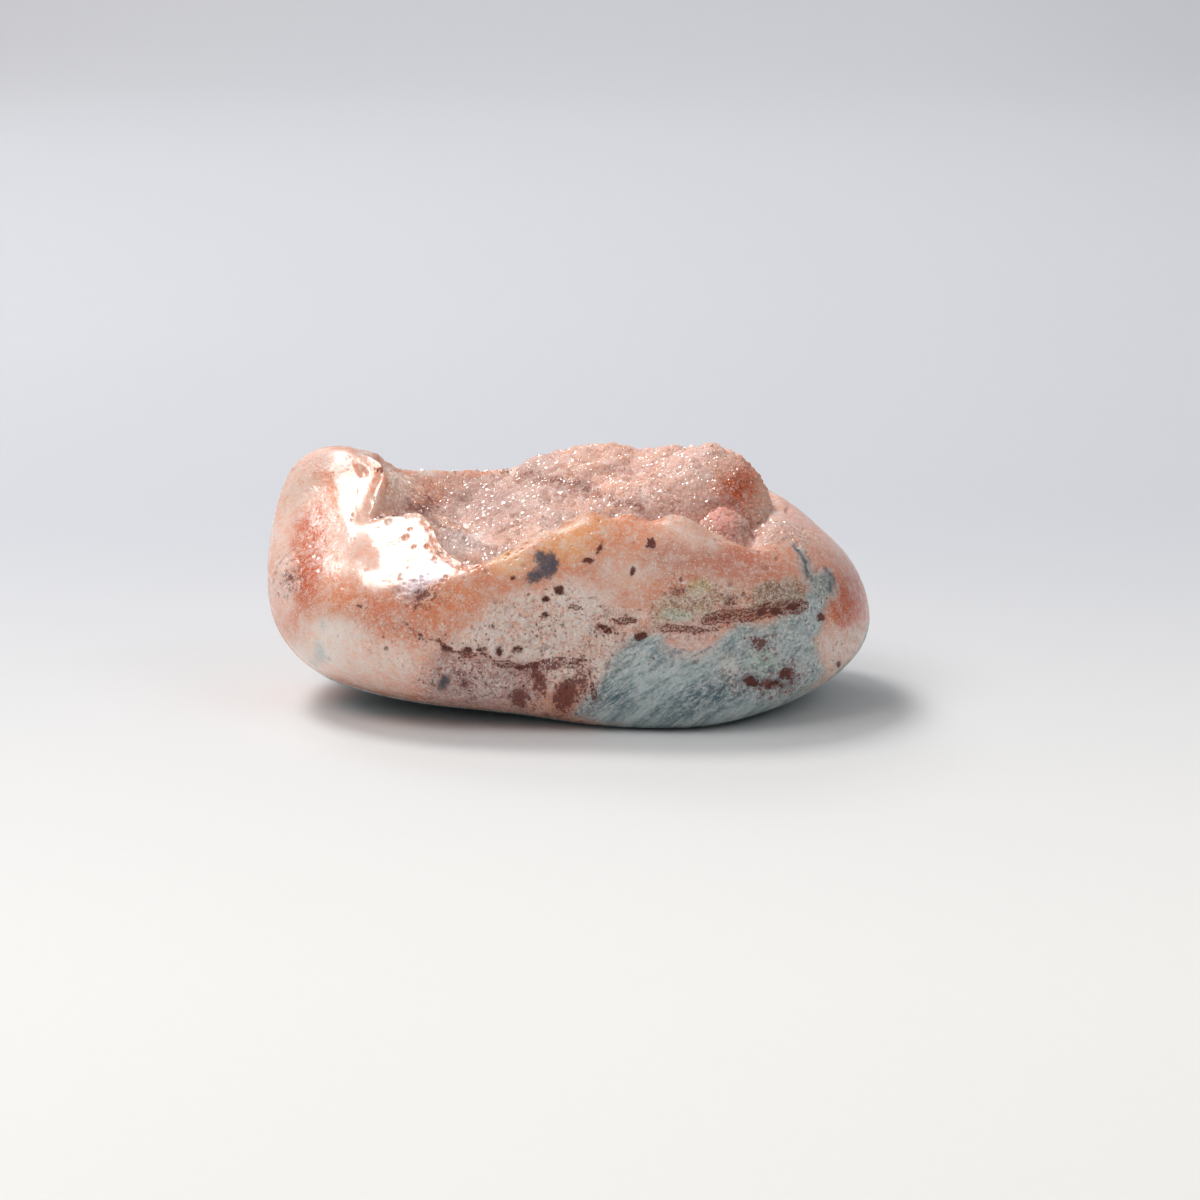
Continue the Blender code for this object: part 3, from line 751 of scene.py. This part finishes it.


# Colours in the hollow, some of them painted light or shade as noted: right, above, half width, half
# height, strength, colour.
CRUST_ZONES = (
    (-11, 23.5, 5, 3.2, 0.85, srgb(190, 144, 134)), (-13.6, 18.2, 3.4, 2, 0.7, srgb(242, 224, 220)),
    # The pale oval at (-21.2, 26) is painted light: the left wall of the hollow, which faces away from the
    # lamps, is made lighter.
    (-21.2, 26, 3.8, 3.6, 0.95, srgb(255, 224, 206)), (-17.4, 25, 3.2, 3, 0.85, srgb(222, 142, 104)),
    # The dark red-brown oval at (-17.6, 23) is partly the rock's stain and partly painted shade in a deep
    # crevice.
    (-17.6, 23, 2, 0.9, 0.8, srgb(150, 62, 38)), (14.5, 25.6, 4.4, 3, 0.75, srgb(255, 208, 190)),
    (21.4, 25.6, 4.2, 4, 0.85, srgb(232, 132, 82)), (21.2, 25.3, 2.9, 3.1, 1, srgb(204, 84, 16)),
    (19.3, 21.3, 3.2, 2.4, 0.8, srgb(238, 150, 132)),
)
CRUST_FADE = (1.1, 0.3)

# Dark red-brown seams along the crevices of the hollow, partly the rock's stain and partly painted shade in
# the creases: corners, half width.
CREVICE_STAIN_AND_SHADE = [
    ([(-5.6, 26.9), (-2.7, 26.1), (1.9, 25.5), (3.5, 24.4), (6.5, 23.3), (9.2, 22.4)], 0.55),
    ([(-19.9, 23), (-18.5, 22.6), (-17.4, 23.5)], 0.7),
    ([(17.6, 23.5), (20.8, 23)], 0.5),
    ([(22.3, 18.5), (23, 20)], 0.5),
]


def paint_crust(points):
    """The colour of the crystal lining, with painted light on its left wall and painted shade, together
    with stain, along its crevices.
    """
    places, _ = front_view(points)
    wander = unevenly(places, points, 2.5, 0.7, 160)
    colour = np.tile(srgb(216, 170, 155), (len(points), 1))
    colour = layer(colour, smooth(-0.2, 0.6, rough(points, 4, 141)), srgb(232, 190, 178))
    far_side = smooth(-6, 3, wander[:, 0] - 0.5 * (wander[:, 1] - 24))
    far_side *= smooth(22, 26, wander[:, 1])
    colour = layer(colour, 0.8 * far_side, srgb(244, 192, 178))
    colour = layer(colour, 0.6 * smooth(0, 0.6, rough(points, 5, 145)), srgb(244, 180, 148))
    for *oval, strength, tone in CRUST_ZONES:
        colour = layer(colour, strength * smooth(*CRUST_FADE, spot(wander, *oval)), tone)
    # Each crevice is made darker red-brown: partly stain, partly painted shade.
    for corners, half_width in CREVICE_STAIN_AND_SHADE:
        away = line_distance(wander, corners)
        colour = layer(colour, 0.8 * smooth(1.7 * half_width, 0.2 * half_width, away), srgb(156, 82, 60))
    return colour


def reach_past_crest(azimuth, points):
    """How far the crystals spread out over the crest; negative where the polished lip keeps them back."""
    reach = REACH_UNEVEN * rough(points, 1.8, 201, 3)
    for first, full_from, full_to, last, amount in CREST_REACH:
        reach += amount * smooth(first, full_from, azimuth) * smooth(last, full_to, azimuth)
    return reach


def root_height(x, y):
    """Where crystals root: on the lining, or on the rounded crest just outside it."""
    crest_radius, crest_height, slope = around(CREST, azimuth_of(x, y))
    outside = np.hypot(x, y) - crest_radius
    over = crest_height - CREST_ROUNDING - 0.1 - np.tan(np.radians(slope)) * np.maximum(0, outside)
    return np.where(outside > 0, over, lining(x, y))


def settle(places, size, taken):
    """Which of these places are clear of the crystals already rooted; they are then taken too."""
    cell_size = CRYSTAL_SIZES[0][0]
    kept = []
    for index, place in enumerate(places):
        cell = tuple(int(c // cell_size) for c in place)
        near = [
            other
            for i in (-1, 0, 1)
            for j in (-1, 0, 1)
            for k in (-1, 0, 1)
            for other in taken.get((cell[0] + i, cell[1] + j, cell[2] + k), ())
        ]
        if all(math.dist(place, other[:3]) >= 0.5 * (size + other[3]) for other in near):
            taken.setdefault(cell, []).append((*place, size))
            kept.append(index)
    return kept


def growth_axis(x, y):
    """Straight out of the lining at each place."""
    step = 0.25
    slope_x = (root_height(x + step, y) - root_height(x - step, y)) / (2 * step)
    slope_y = (root_height(x, y + step) - root_height(x, y - step)) / (2 * step)
    return unit(stacked(-np.clip(slope_x, -STEEPEST, STEEPEST), -np.clip(slope_y, -STEEPEST, STEEPEST), 1))


def upright_sites(dome, rng):
    """Roots and directions on the upright foot of a dome, which tries over the plan would miss."""
    dome_x, dome_y, _, radius_x, radius_y, _, turn = dome
    tries = int(WALL_TRIES * (radius_x + radius_y))
    angle = rng.uniform(0, 2 * math.pi, tries)
    share = rng.random(tries)
    turned_by = complex(math.cos(math.radians(turn)), math.sin(math.radians(turn)))

    def ring(reach):
        out = ((radius_x + reach) * np.cos(angle) + 1j * (radius_y + reach) * np.sin(angle)) * turned_by
        return dome_x + out.real, dome_y + out.imag

    top, foot = root_height(*ring(-WALL_HALF_WIDTH)), root_height(*ring(WALL_HALF_WIDTH))
    x, y = ring(0)
    inside = np.hypot(x, y) < around(CREST, azimuth_of(x, y))[0] - 1
    steep = inside & (top - foot > 6 * WALL_HALF_WIDTH)
    outward = unit(stacked(x - dome_x, y - dome_y, 0.4 * radius_x))
    return stacked(x, y, foot + share * (top - foot))[steep], outward[steep]


def crystal_sites(sugar_points, sugar_normals, rng):
    """Roots, directions and sizes of the crystals: large ones first, then smaller ones in the gaps."""
    taken = {}
    roots, axes, sizes = [], [], []

    def grow(places, size, directions=None, sunk=0):
        chosen = settle(places, size, taken)
        places = places[chosen]
        directions = growth_axis(places[:, 0], places[:, 1]) if directions is None else directions[chosen]
        roots.append(places - sunk * size * directions)
        axes.append(directions)
        sizes.append(np.full(len(places), size))

    groups = [(size, np.array([x]), np.array([y])) for x, y, size in SHOWY_CRYSTALS]
    for size, tries in CRYSTAL_SIZES:
        across, back = (rng.uniform(-reach, reach, tries) for reach in HOLLOW_REACH)
        groups.append((size, across, back))
    for size, x, y in groups:
        azimuth = azimuth_of(x, y)
        places = stacked(x, y, root_height(x, y))
        reach = around(CREST, azimuth)[0] + reach_past_crest(azimuth, places)
        grow(places[np.hypot(x, y) < reach], size)
    for dome in DOMES.values():
        wall_roots, wall_axes = upright_sites(dome, rng)
        for size in WALL_SIZES:
            grow(wall_roots, size, wall_axes)
    for size, tries in SUGAR_SIZES:
        chosen = rng.integers(0, len(sugar_points), tries)
        grow(sugar_points[chosen], size, sugar_normals[chosen], SUGAR_SUNK)
    return np.vstack(roots), np.vstack(axes), np.concatenate(sizes)


def soften(mesh, soft):
    """Turns each face's shading part of the way to these directions, as light spreads in crystals."""
    facet = np.empty(3 * len(mesh.polygons))
    mesh.polygons.foreach_get("normal", facet)
    corners = np.empty(len(mesh.polygons), int)
    mesh.polygons.foreach_get("loop_total", corners)
    facet = np.repeat(facet.reshape(-1, 3), corners, axis=0)
    mesh.normals_split_custom_set(unit((1 - CRYSTAL_SOFTNESS) * facet + CRYSTAL_SOFTNESS * soft))


def make_crystals(material, sugar_points, sugar_normals, rng):
    root, soft, size = crystal_sites(sugar_points, sugar_normals, rng)
    count = len(root)
    axis = unit(soft + CRYSTAL_LEAN * rng.normal(size=(count, 3)))
    side = unit(np.cross(axis, rng.normal(size=(count, 3))))
    other = np.cross(axis, side)
    radius = size * rng.uniform(*CRYSTAL_RADII, count)
    shoulder = size * rng.uniform(*SHOULDERS, count)
    tip = shoulder + radius * rng.uniform(*TIPS, count)
    points = []
    for height in (CRYSTAL_ROOT * size, shoulder):
        for corner in range(SIDES):
            angle = 2 * math.pi * corner / SIDES
            reach = radius * rng.uniform(*CORNER_SPREAD, count)
            ring = math.cos(angle) * side + math.sin(angle) * other
            points.append(root + axis * height[:, None] + ring * reach[:, None])
    off_centre = TIP_OFF_CENTRE * radius * rng.uniform(-1, 1, count)
    points.append(root + axis * tip[:, None] + side * off_centre[:, None])
    points = np.stack(points, axis=1)
    body = paint_crust(root) * rng.uniform(*CRYSTAL_SHADES, count)[:, None]
    clear = rng.random(count) < CLEAR_SHARE
    body = layer(body, 0.35 * clear + 0.9 * (size > CRYSTAL_SIZES[0][0]), BRIGHT_SPECK)
    # Painted light: each crystal's tip is paler, a painted glow where it is thin, and its root ring is
    # darker, painted shade toward the lining.
    glow_painted_tip = 0.92 * body + 0.08 * FROST
    colours = np.clip(np.stack([0.95 * body] * SIDES + [body] * SIDES + [glow_painted_tip], axis=1), 0, 1)
    behind = root[:, 1] > CRYSTAL_SPLIT
    pieces = []
    for name, chosen in (("far_crystals", behind), ("near_crystals", ~behind)):
        faces = []
        for base in range(0, points.shape[1] * int(chosen.sum()), points.shape[1]):
            for corner in range(SIDES):
                low, low_after = base + corner, base + (corner + 1) % SIDES
                faces.append((low, low_after, low_after + SIDES, low + SIDES))
                faces.append((low + SIDES, low_after + SIDES, base + 2 * SIDES))
            faces.append(tuple(range(base + SIDES - 1, base - 1, -1)))
        shape = points[chosen].reshape(-1, 3)
        piece = new_object(name, shape, faces, colours[chosen].reshape(-1, 3), {}, material, False)
        soften(piece.data, np.repeat(soft[chosen], len(piece.data.loops) // int(chosen.sum()), axis=0))
        pieces.append(piece)
    return pieces


# The streaks of the grey-green rock slant by this much, in degrees.
ROCK_SLANT = 34
# Painted pores: cells in a metre and the share of them that are open; how far they are shifted, in metres.
PORE_CELLS = ((1200, 0.1), (2500, 0.22))
PORE_DRIFT = 0.0012
# How deep inside a crack the edges of its chips run, in millimetres.
CHIP_EDGES = (0.05, 0.55)


class Nodes:
    """Short names for building a material's nodes."""

    def __init__(self, name):
        self.material = bpy.data.materials.new(name)
        self.material.use_nodes = True
        self.tree = self.material.node_tree
        self.shader = self.tree.nodes["Principled BSDF"]

    def add(self, kind, values=None, **settings):
        node = self.tree.nodes.new(kind)
        for key, value in settings.items():
            setattr(node, key, value)
        for key, value in (values or {}).items():
            if isinstance(value, bpy.types.NodeSocket):
                self.tree.links.new(value, node.inputs[key])
            else:
                node.inputs[key].default_value = value
        return node

    def set(self, **values):
        for key, value in values.items():
            socket = self.shader.inputs[key.replace("_", " ")]
            if isinstance(value, bpy.types.NodeSocket):
                self.tree.links.new(value, socket)
            else:
                socket.default_value = value

    def value(self, kind, output, values=None, **settings):
        return self.add(kind, values, **settings).outputs[output]

    def attribute(self, name, output="Fac"):
        return self.value("ShaderNodeAttribute", output, attribute_name=name)

    def noise(self, place, scale, detail, roughness=0.55, distortion=0):
        values = {"Vector": place, "Scale": scale, "Detail": detail, "Roughness": roughness}
        return self.value("ShaderNodeTexNoise", "Fac", values | {"Distortion": distortion})

    def ramp(self, value, low, high, first=0, last=1):
        values = {"Value": value, "From Min": low, "From Max": high, "To Min": first, "To Max": last}
        return self.value("ShaderNodeMapRange", "Result", values)

    def math(self, operation, a, b=0):
        return self.value("ShaderNodeMath", 0, {0: a, 1: b}, operation=operation)

    def sum(self, a, b):
        return self.math("ADD", a, b)

    def less(self, a, b):
        return self.math("SUBTRACT", a, b)

    def times(self, a, b):
        return self.math("MULTIPLY", a, b)

    def bump(self, height, strength, distance):
        values = {"Height": height, "Strength": strength, "Distance": distance}
        return self.value("ShaderNodeBump", "Normal", values)

    def over(self, amount, below, above, blend="MIX"):
        """One colour laid over another by this share."""
        if not isinstance(above, bpy.types.NodeSocket):
            above = (*above, 1)
        values = {0: amount, 6: below, 7: above}
        return self.value("ShaderNodeMix", 2, values, data_type="RGBA", blend_type=blend)

    def grade(self, colour, layers, share=None):
        """Lays colours over this one, each as its pattern goes from low to high."""
        for pattern, low, high, most, above, *blend in layers:
            amount = self.ramp(pattern, low, high, 0, most)
            if share is not None:
                amount = self.times(share, amount)
            colour = self.over(amount, colour, above, *blend)
        return colour


def stone_material():
    n = Nodes("polished_quartz_and_rock")
    place = n.value("ShaderNodeTexCoord", "Object")
    tint, matt, porous = n.attribute("tint", "Color"), n.attribute("matt"), n.attribute("porous")
    clouds = n.noise(place, 260, 4)
    blotches = n.noise(place, 720, 4, 0.6, 0.5)
    grain = n.noise(place, 1300, 5, 0.62)
    lace = n.noise(place, 2700, 4, 0.7)
    specks = n.noise(place, 5200, 2, 0.6)
    edge = n.ramp(n.sum(n.times(grain, 0.5), n.times(lace, 0.5)), 0.35, 0.65, -0.9, 0.9)

    def mark(name, wander):
        """A mark's distance with its edge made ragged."""
        return n.sum(n.attribute(name), n.times(edge, wander))

    # Quartz: cloudy orange and cream, with fine pale veins and specks.
    colour = n.grade(tint, (
        (clouds, 0.45, 0.68, 0.5, (1, 0.8, 0.66), "MULTIPLY"),
        (blotches, 0.5, 0.63, 0.32, FROST),
        (blotches, 0.5, 0.38, 0.55, (1, 0.8, 0.68), "MULTIPLY"),
        (grain, 0.52, 0.64, 0.32, FROST),
        (lace, 0.56, 0.68, 0.35, FROST),
        (lace, 0.47, 0.33, 0.7, (0.94, 0.7, 0.57), "MULTIPLY"),
        (specks, 0.58, 0.67, 0.65, BRIGHT_SPECK),
    ))

    # The grey-green rock: fine streaks that slant up to the right, and pale mottling.
    slant = math.radians(ROCK_SLANT)
    streaked = n.add("ShaderNodeCombineXYZ")
    for axis, way in enumerate((
        (0.3 * math.cos(slant), 0.4, 0.3 * math.sin(slant)),
        (-math.sin(slant), 0.3, math.cos(slant)),
    )):
        reach = n.value("ShaderNodeVectorMath", "Value", {0: place, 1: way}, operation="DOT_PRODUCT")
        n.tree.links.new(reach, streaked.inputs[axis])
    streaks = n.noise(streaked.outputs[0], 2900, 5, 0.75, 0.4)
    broad = n.noise(streaked.outputs[0], 900, 3, 0.6, 0.4)
    rock = n.grade(tint, (
        (streaks, 0.5, 0.62, 0.75, PALE_TEAL),
        (streaks, 0.48, 0.36, 0.75, DEEP_TEAL),
        (broad, 0.5, 0.62, 0.45, PALE_TEAL),
        (broad, 0.48, 0.38, 0.45, DEEP_TEAL),
        (grain, 0.52, 0.62, 0.35, PALE_TEAL),
        (lace, 0.55, 0.66, 0.5, FROST),
        (lace, 0.44, 0.34, 0.5, (0.5, 0.54, 0.56), "MULTIPLY"),
    ))
    colour = n.over(n.ramp(mark("teal", 1.3), -0.15, 0.2), colour, rock)

    # Where the rock is porous it is crumbly: pale crumbs, brown gaps between them and open pores.
    patchy = n.times(porous, n.ramp(clouds, 0.36, 0.6, 0.4, 1))
    colour = n.grade(colour, (
        (lace, 0.48, 0.59, 0.75, BRIGHT_SPECK),
        (lace, 0.47, 0.36, 0.6, (0.84, 0.66, 0.61), "MULTIPLY"),
        (specks, 0.42, 0.32, 0.5, RUST),
    ), patchy)
    colour = n.grade(colour, ((grain, 0.46, 0.38, 0.8, DRIED_RED),), n.ramp(n.attribute("rust"), -2.6, 0.3))
    drift = n.value("ShaderNodeTexNoise", "Color", {"Vector": place, "Scale": 1500, "Detail": 3})
    values = {0: drift, 1: (PORE_DRIFT, PORE_DRIFT, PORE_DRIFT), 2: place}
    shifted = n.value("ShaderNodeVectorMath", "Vector", values, operation="MULTIPLY_ADD")
    pores = 0
    for scale, share in PORE_CELLS:
        cells = n.add("ShaderNodeTexVoronoi", {"Vector": shifted, "Scale": scale})
        chance = n.value("ShaderNodeSeparateColor", "Red", {"Color": cells.outputs["Color"]})
        chosen = n.ramp(n.less(n.times(patchy, share), chance), -0.02, 0.04)
        pore = n.times(chosen, n.ramp(cells.outputs["Distance"], 0.42, 0.22))
        pores = n.math("MAXIMUM", pore, pores)
    from_vein = n.math("ABSOLUTE", n.less(n.noise(place, 520, 5, 0.6, 0.6), 0.5))
    veins = n.times(n.ramp(from_vein, 0.018, 0.004), n.times(porous, n.ramp(clouds, 0.42, 0.6)))
    colour = n.over(n.times(veins, 0.6), colour, RUST)
    colour = n.over(n.times(pores, 0.7), colour, PORE_BROWN)

    # A crack is a band of tan chips with rust along their edges.
    crack = mark("crack", 0.45)
    colour = n.grade(colour, ((crack, 0, 0.4, 0.5, TAN_CHIP),))
    for level in CHIP_EDGES:
        off_level = n.math("ABSOLUTE", n.less(crack, level))
        colour = n.grade(colour, ((off_level, 0.17, 0.07, 0.92, DRIED_RED),))
    colour = n.grade(colour, ((mark("rust", 1.2), 0, 0.35, 0.88, DRIED_RED),))
    slate = n.times(n.ramp(mark("slate", 0.45), -0.25, 0.25), n.ramp(grain, 0.38, 0.6, 0.97, 0.85))
    colour = n.over(slate, colour, SLATE)
    dark = n.ramp(mark("dark", 0.35), -0.08, 0.1)
    colour = n.over(n.times(dark, 0.97), colour, DARK_RED)

    roughness = n.sum(n.ramp(matt, 0, 2, 0.15, 0.8), n.ramp(grain, 0.4, 0.7, 0, 0.12))
    wave = n.sum(n.times(n.noise(place, 330, 3), 0.4), n.times(blotches, 0.18))
    fine = n.times(n.sum(lace, n.times(grain, porous)), n.ramp(matt, 0, 1, 0.07, 0.8))
    relief = n.less(n.sum(wave, fine), n.times(n.math("MAXIMUM", pores, dark), 0.7))
    n.set(Base_Color=colour, Roughness=roughness, Normal=n.bump(relief, 0.9, 0.00032))
    n.set(IOR=1.54, Subsurface_Weight=0.25, Subsurface_Radius=(1, 0.45, 0.3), Subsurface_Scale=0.0015)
    return n.material


def crystal_material():
    n = Nodes("pink_crystal_points")
    place = n.value("ShaderNodeTexCoord", "Object")
    specks = n.noise(place, 3600, 2, 0.6)
    # The bright specks are partly painted glints and partly pale sugary mottling; the dark specks mottle
    # the crystals.
    colour = n.grade(n.attribute("tint", "Color"), (
        (n.noise(place, 1400, 3), 0.4, 0.65, 0.18, FROST),
        (specks, 0.56, 0.66, 0.55, BRIGHT_SPECK),
        (specks, 0.44, 0.34, 0.45, (0.9, 0.66, 0.56), "MULTIPLY"),
    ))
    n.set(Base_Color=colour, Roughness=0.55, Specular_IOR_Level=0.1, IOR=1.54)
    # The gloss follows the true faces of the crystals, so they glint one by one.
    true_faces = n.value("ShaderNodeNewGeometry", "True Normal")
    n.set(Coat_Weight=1, Coat_IOR=1.54, Coat_Roughness=0.1, Coat_Normal=true_faces)
    return n.material


def floor_material():
    n = Nodes("pale_sweep")
    place = n.value("ShaderNodeTexCoord", "Object")
    parts = n.add("ShaderNodeSeparateXYZ", {"Vector": place})
    sideways, away = parts.outputs["X"], parts.outputs["Y"]
    reach = {"Value": away, "From Min": -0.14, "From Max": 0.14}
    far = n.value("ShaderNodeMapRange", "Result", reach, interpolation_type="SMOOTHSTEP")
    grain = n.noise(place, 500, 3)
    near_colour = n.over(n.ramp(grain, 0.4, 0.6, 0, 0.03), (*FLOOR_NEAR, 1), FLOOR_GRAIN)
    # Painted shade: the floor turns a darker, bluer colour towards the back, and the backdrop is darker
    # again to the upper left.
    colour = n.over(far, near_colour, FLOOR_FAR_SHADED)
    shade = n.times(n.ramp(away, 0.3, 1), n.ramp(sideways, 0.12, -0.22))
    colour = n.over(shade, colour, FLOOR_SHADE, "MULTIPLY")
    n.set(Base_Color=colour, Roughness=0.7, Normal=n.bump(grain, 0.05, 0.0002))
    return n.material


def make_sweep():
    """A floor that curves up into a backdrop."""
    profile = [(SWEEP_FRONT, 0), (SWEEP_BEND, 0)]
    for step in range(1, SWEEP_STEPS + 1):
        angle = math.radians(90 * step / SWEEP_STEPS)
        out, up = SWEEP_RADIUS * math.sin(angle), SWEEP_RADIUS * (1 - math.cos(angle))
        profile.append((SWEEP_BEND + out, up))
    profile.append((SWEEP_BEND + SWEEP_RADIUS, SWEEP_TOP))
    points = [(x, y, z) for y, z in profile for x in (-SWEEP_HALF_WIDTH, SWEEP_HALF_WIDTH)]
    faces = [(2 * i, 2 * i + 1, 2 * i + 3, 2 * i + 2) for i in range(len(profile) - 1)]
    mesh = bpy.data.meshes.new("sweep")
    mesh.from_pydata(points, [], faces)
    mesh.shade_smooth()
    mesh.materials.append(floor_material())
    sweep = bpy.data.objects.new("sweep", mesh)
    bpy.context.collection.objects.link(sweep)


def add_light(name, azimuth, elevation, distance, size, power, mirrored, lit):
    """A soft light in this direction from the stone, turned towards it."""
    lamp = bpy.data.lights.new(name, "AREA")
    lamp.shape = "RECTANGLE"
    lamp.size, lamp.size_y = size
    lamp.energy = power
    lamp.color = WARM_WHITE
    holder = bpy.data.objects.new(name, lamp)
    flat, rise = math.radians(azimuth), math.radians(elevation)
    towards = Vector((math.cos(flat) * math.cos(rise), math.sin(flat) * math.cos(rise), math.sin(rise)))
    holder.location = towards * distance
    holder.rotation_euler = (-towards).to_track_quat("-Z", "Y").to_euler()
    holder.visible_glossy = mirrored
    holder.visible_diffuse = lit
    bpy.context.collection.objects.link(holder)


def make_studio():
    scene = bpy.context.scene
    world = bpy.data.worlds.new("studio")
    world.use_nodes = True
    tree = world.node_tree
    height = tree.nodes.new("ShaderNodeSeparateXYZ")
    tree.links.new(tree.nodes.new("ShaderNodeTexCoord").outputs["Generated"], height.inputs["Vector"])
    strength = tree.nodes.new("ShaderNodeMapRange")
    for socket, value in SKY_STRENGTH.items():
        strength.inputs[socket].default_value = value
    tree.links.new(height.outputs["Z"], strength.inputs["Value"])
    tree.links.new(strength.outputs["Result"], tree.nodes["Background"].inputs["Strength"])
    tree.nodes["Background"].inputs["Color"].default_value = SKY_COLOUR
    scene.world = world
    for light in LIGHTS:
        add_light(*light)
    scene.view_settings.view_transform = "Standard"

    camera = bpy.data.cameras.new("camera")
    camera.lens = LENS
    camera.sensor_width = SENSOR
    camera.clip_start = 0.01
    holder = bpy.data.objects.new("camera", camera)
    rise = math.radians(VIEW_ELEVATION)
    back = Vector((0, -math.cos(rise), math.sin(rise)))
    holder.location = (Vector(VIEW_TARGET) + back * VIEW_DISTANCE) * MM
    holder.rotation_euler = (-back).to_track_quat("-Z", "Y").to_euler()
    bpy.context.collection.objects.link(holder)
    scene.camera = holder


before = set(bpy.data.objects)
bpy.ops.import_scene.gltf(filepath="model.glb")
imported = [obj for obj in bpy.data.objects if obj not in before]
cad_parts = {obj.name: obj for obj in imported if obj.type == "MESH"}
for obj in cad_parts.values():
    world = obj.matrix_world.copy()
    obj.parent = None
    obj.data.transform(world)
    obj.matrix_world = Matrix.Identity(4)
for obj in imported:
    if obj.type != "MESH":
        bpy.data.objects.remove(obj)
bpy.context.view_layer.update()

make_studio()
make_sweep()
rng = np.random.default_rng(SEED)
stone, sugar_points, sugar_normals = make_stone(stone_material(), rng)
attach(stone, "root")
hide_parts("stone_body")
for crystals in make_crystals(crystal_material(), sugar_points, sugar_normals, rng):
    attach(crystals, "root")
    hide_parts("crystal_crust")
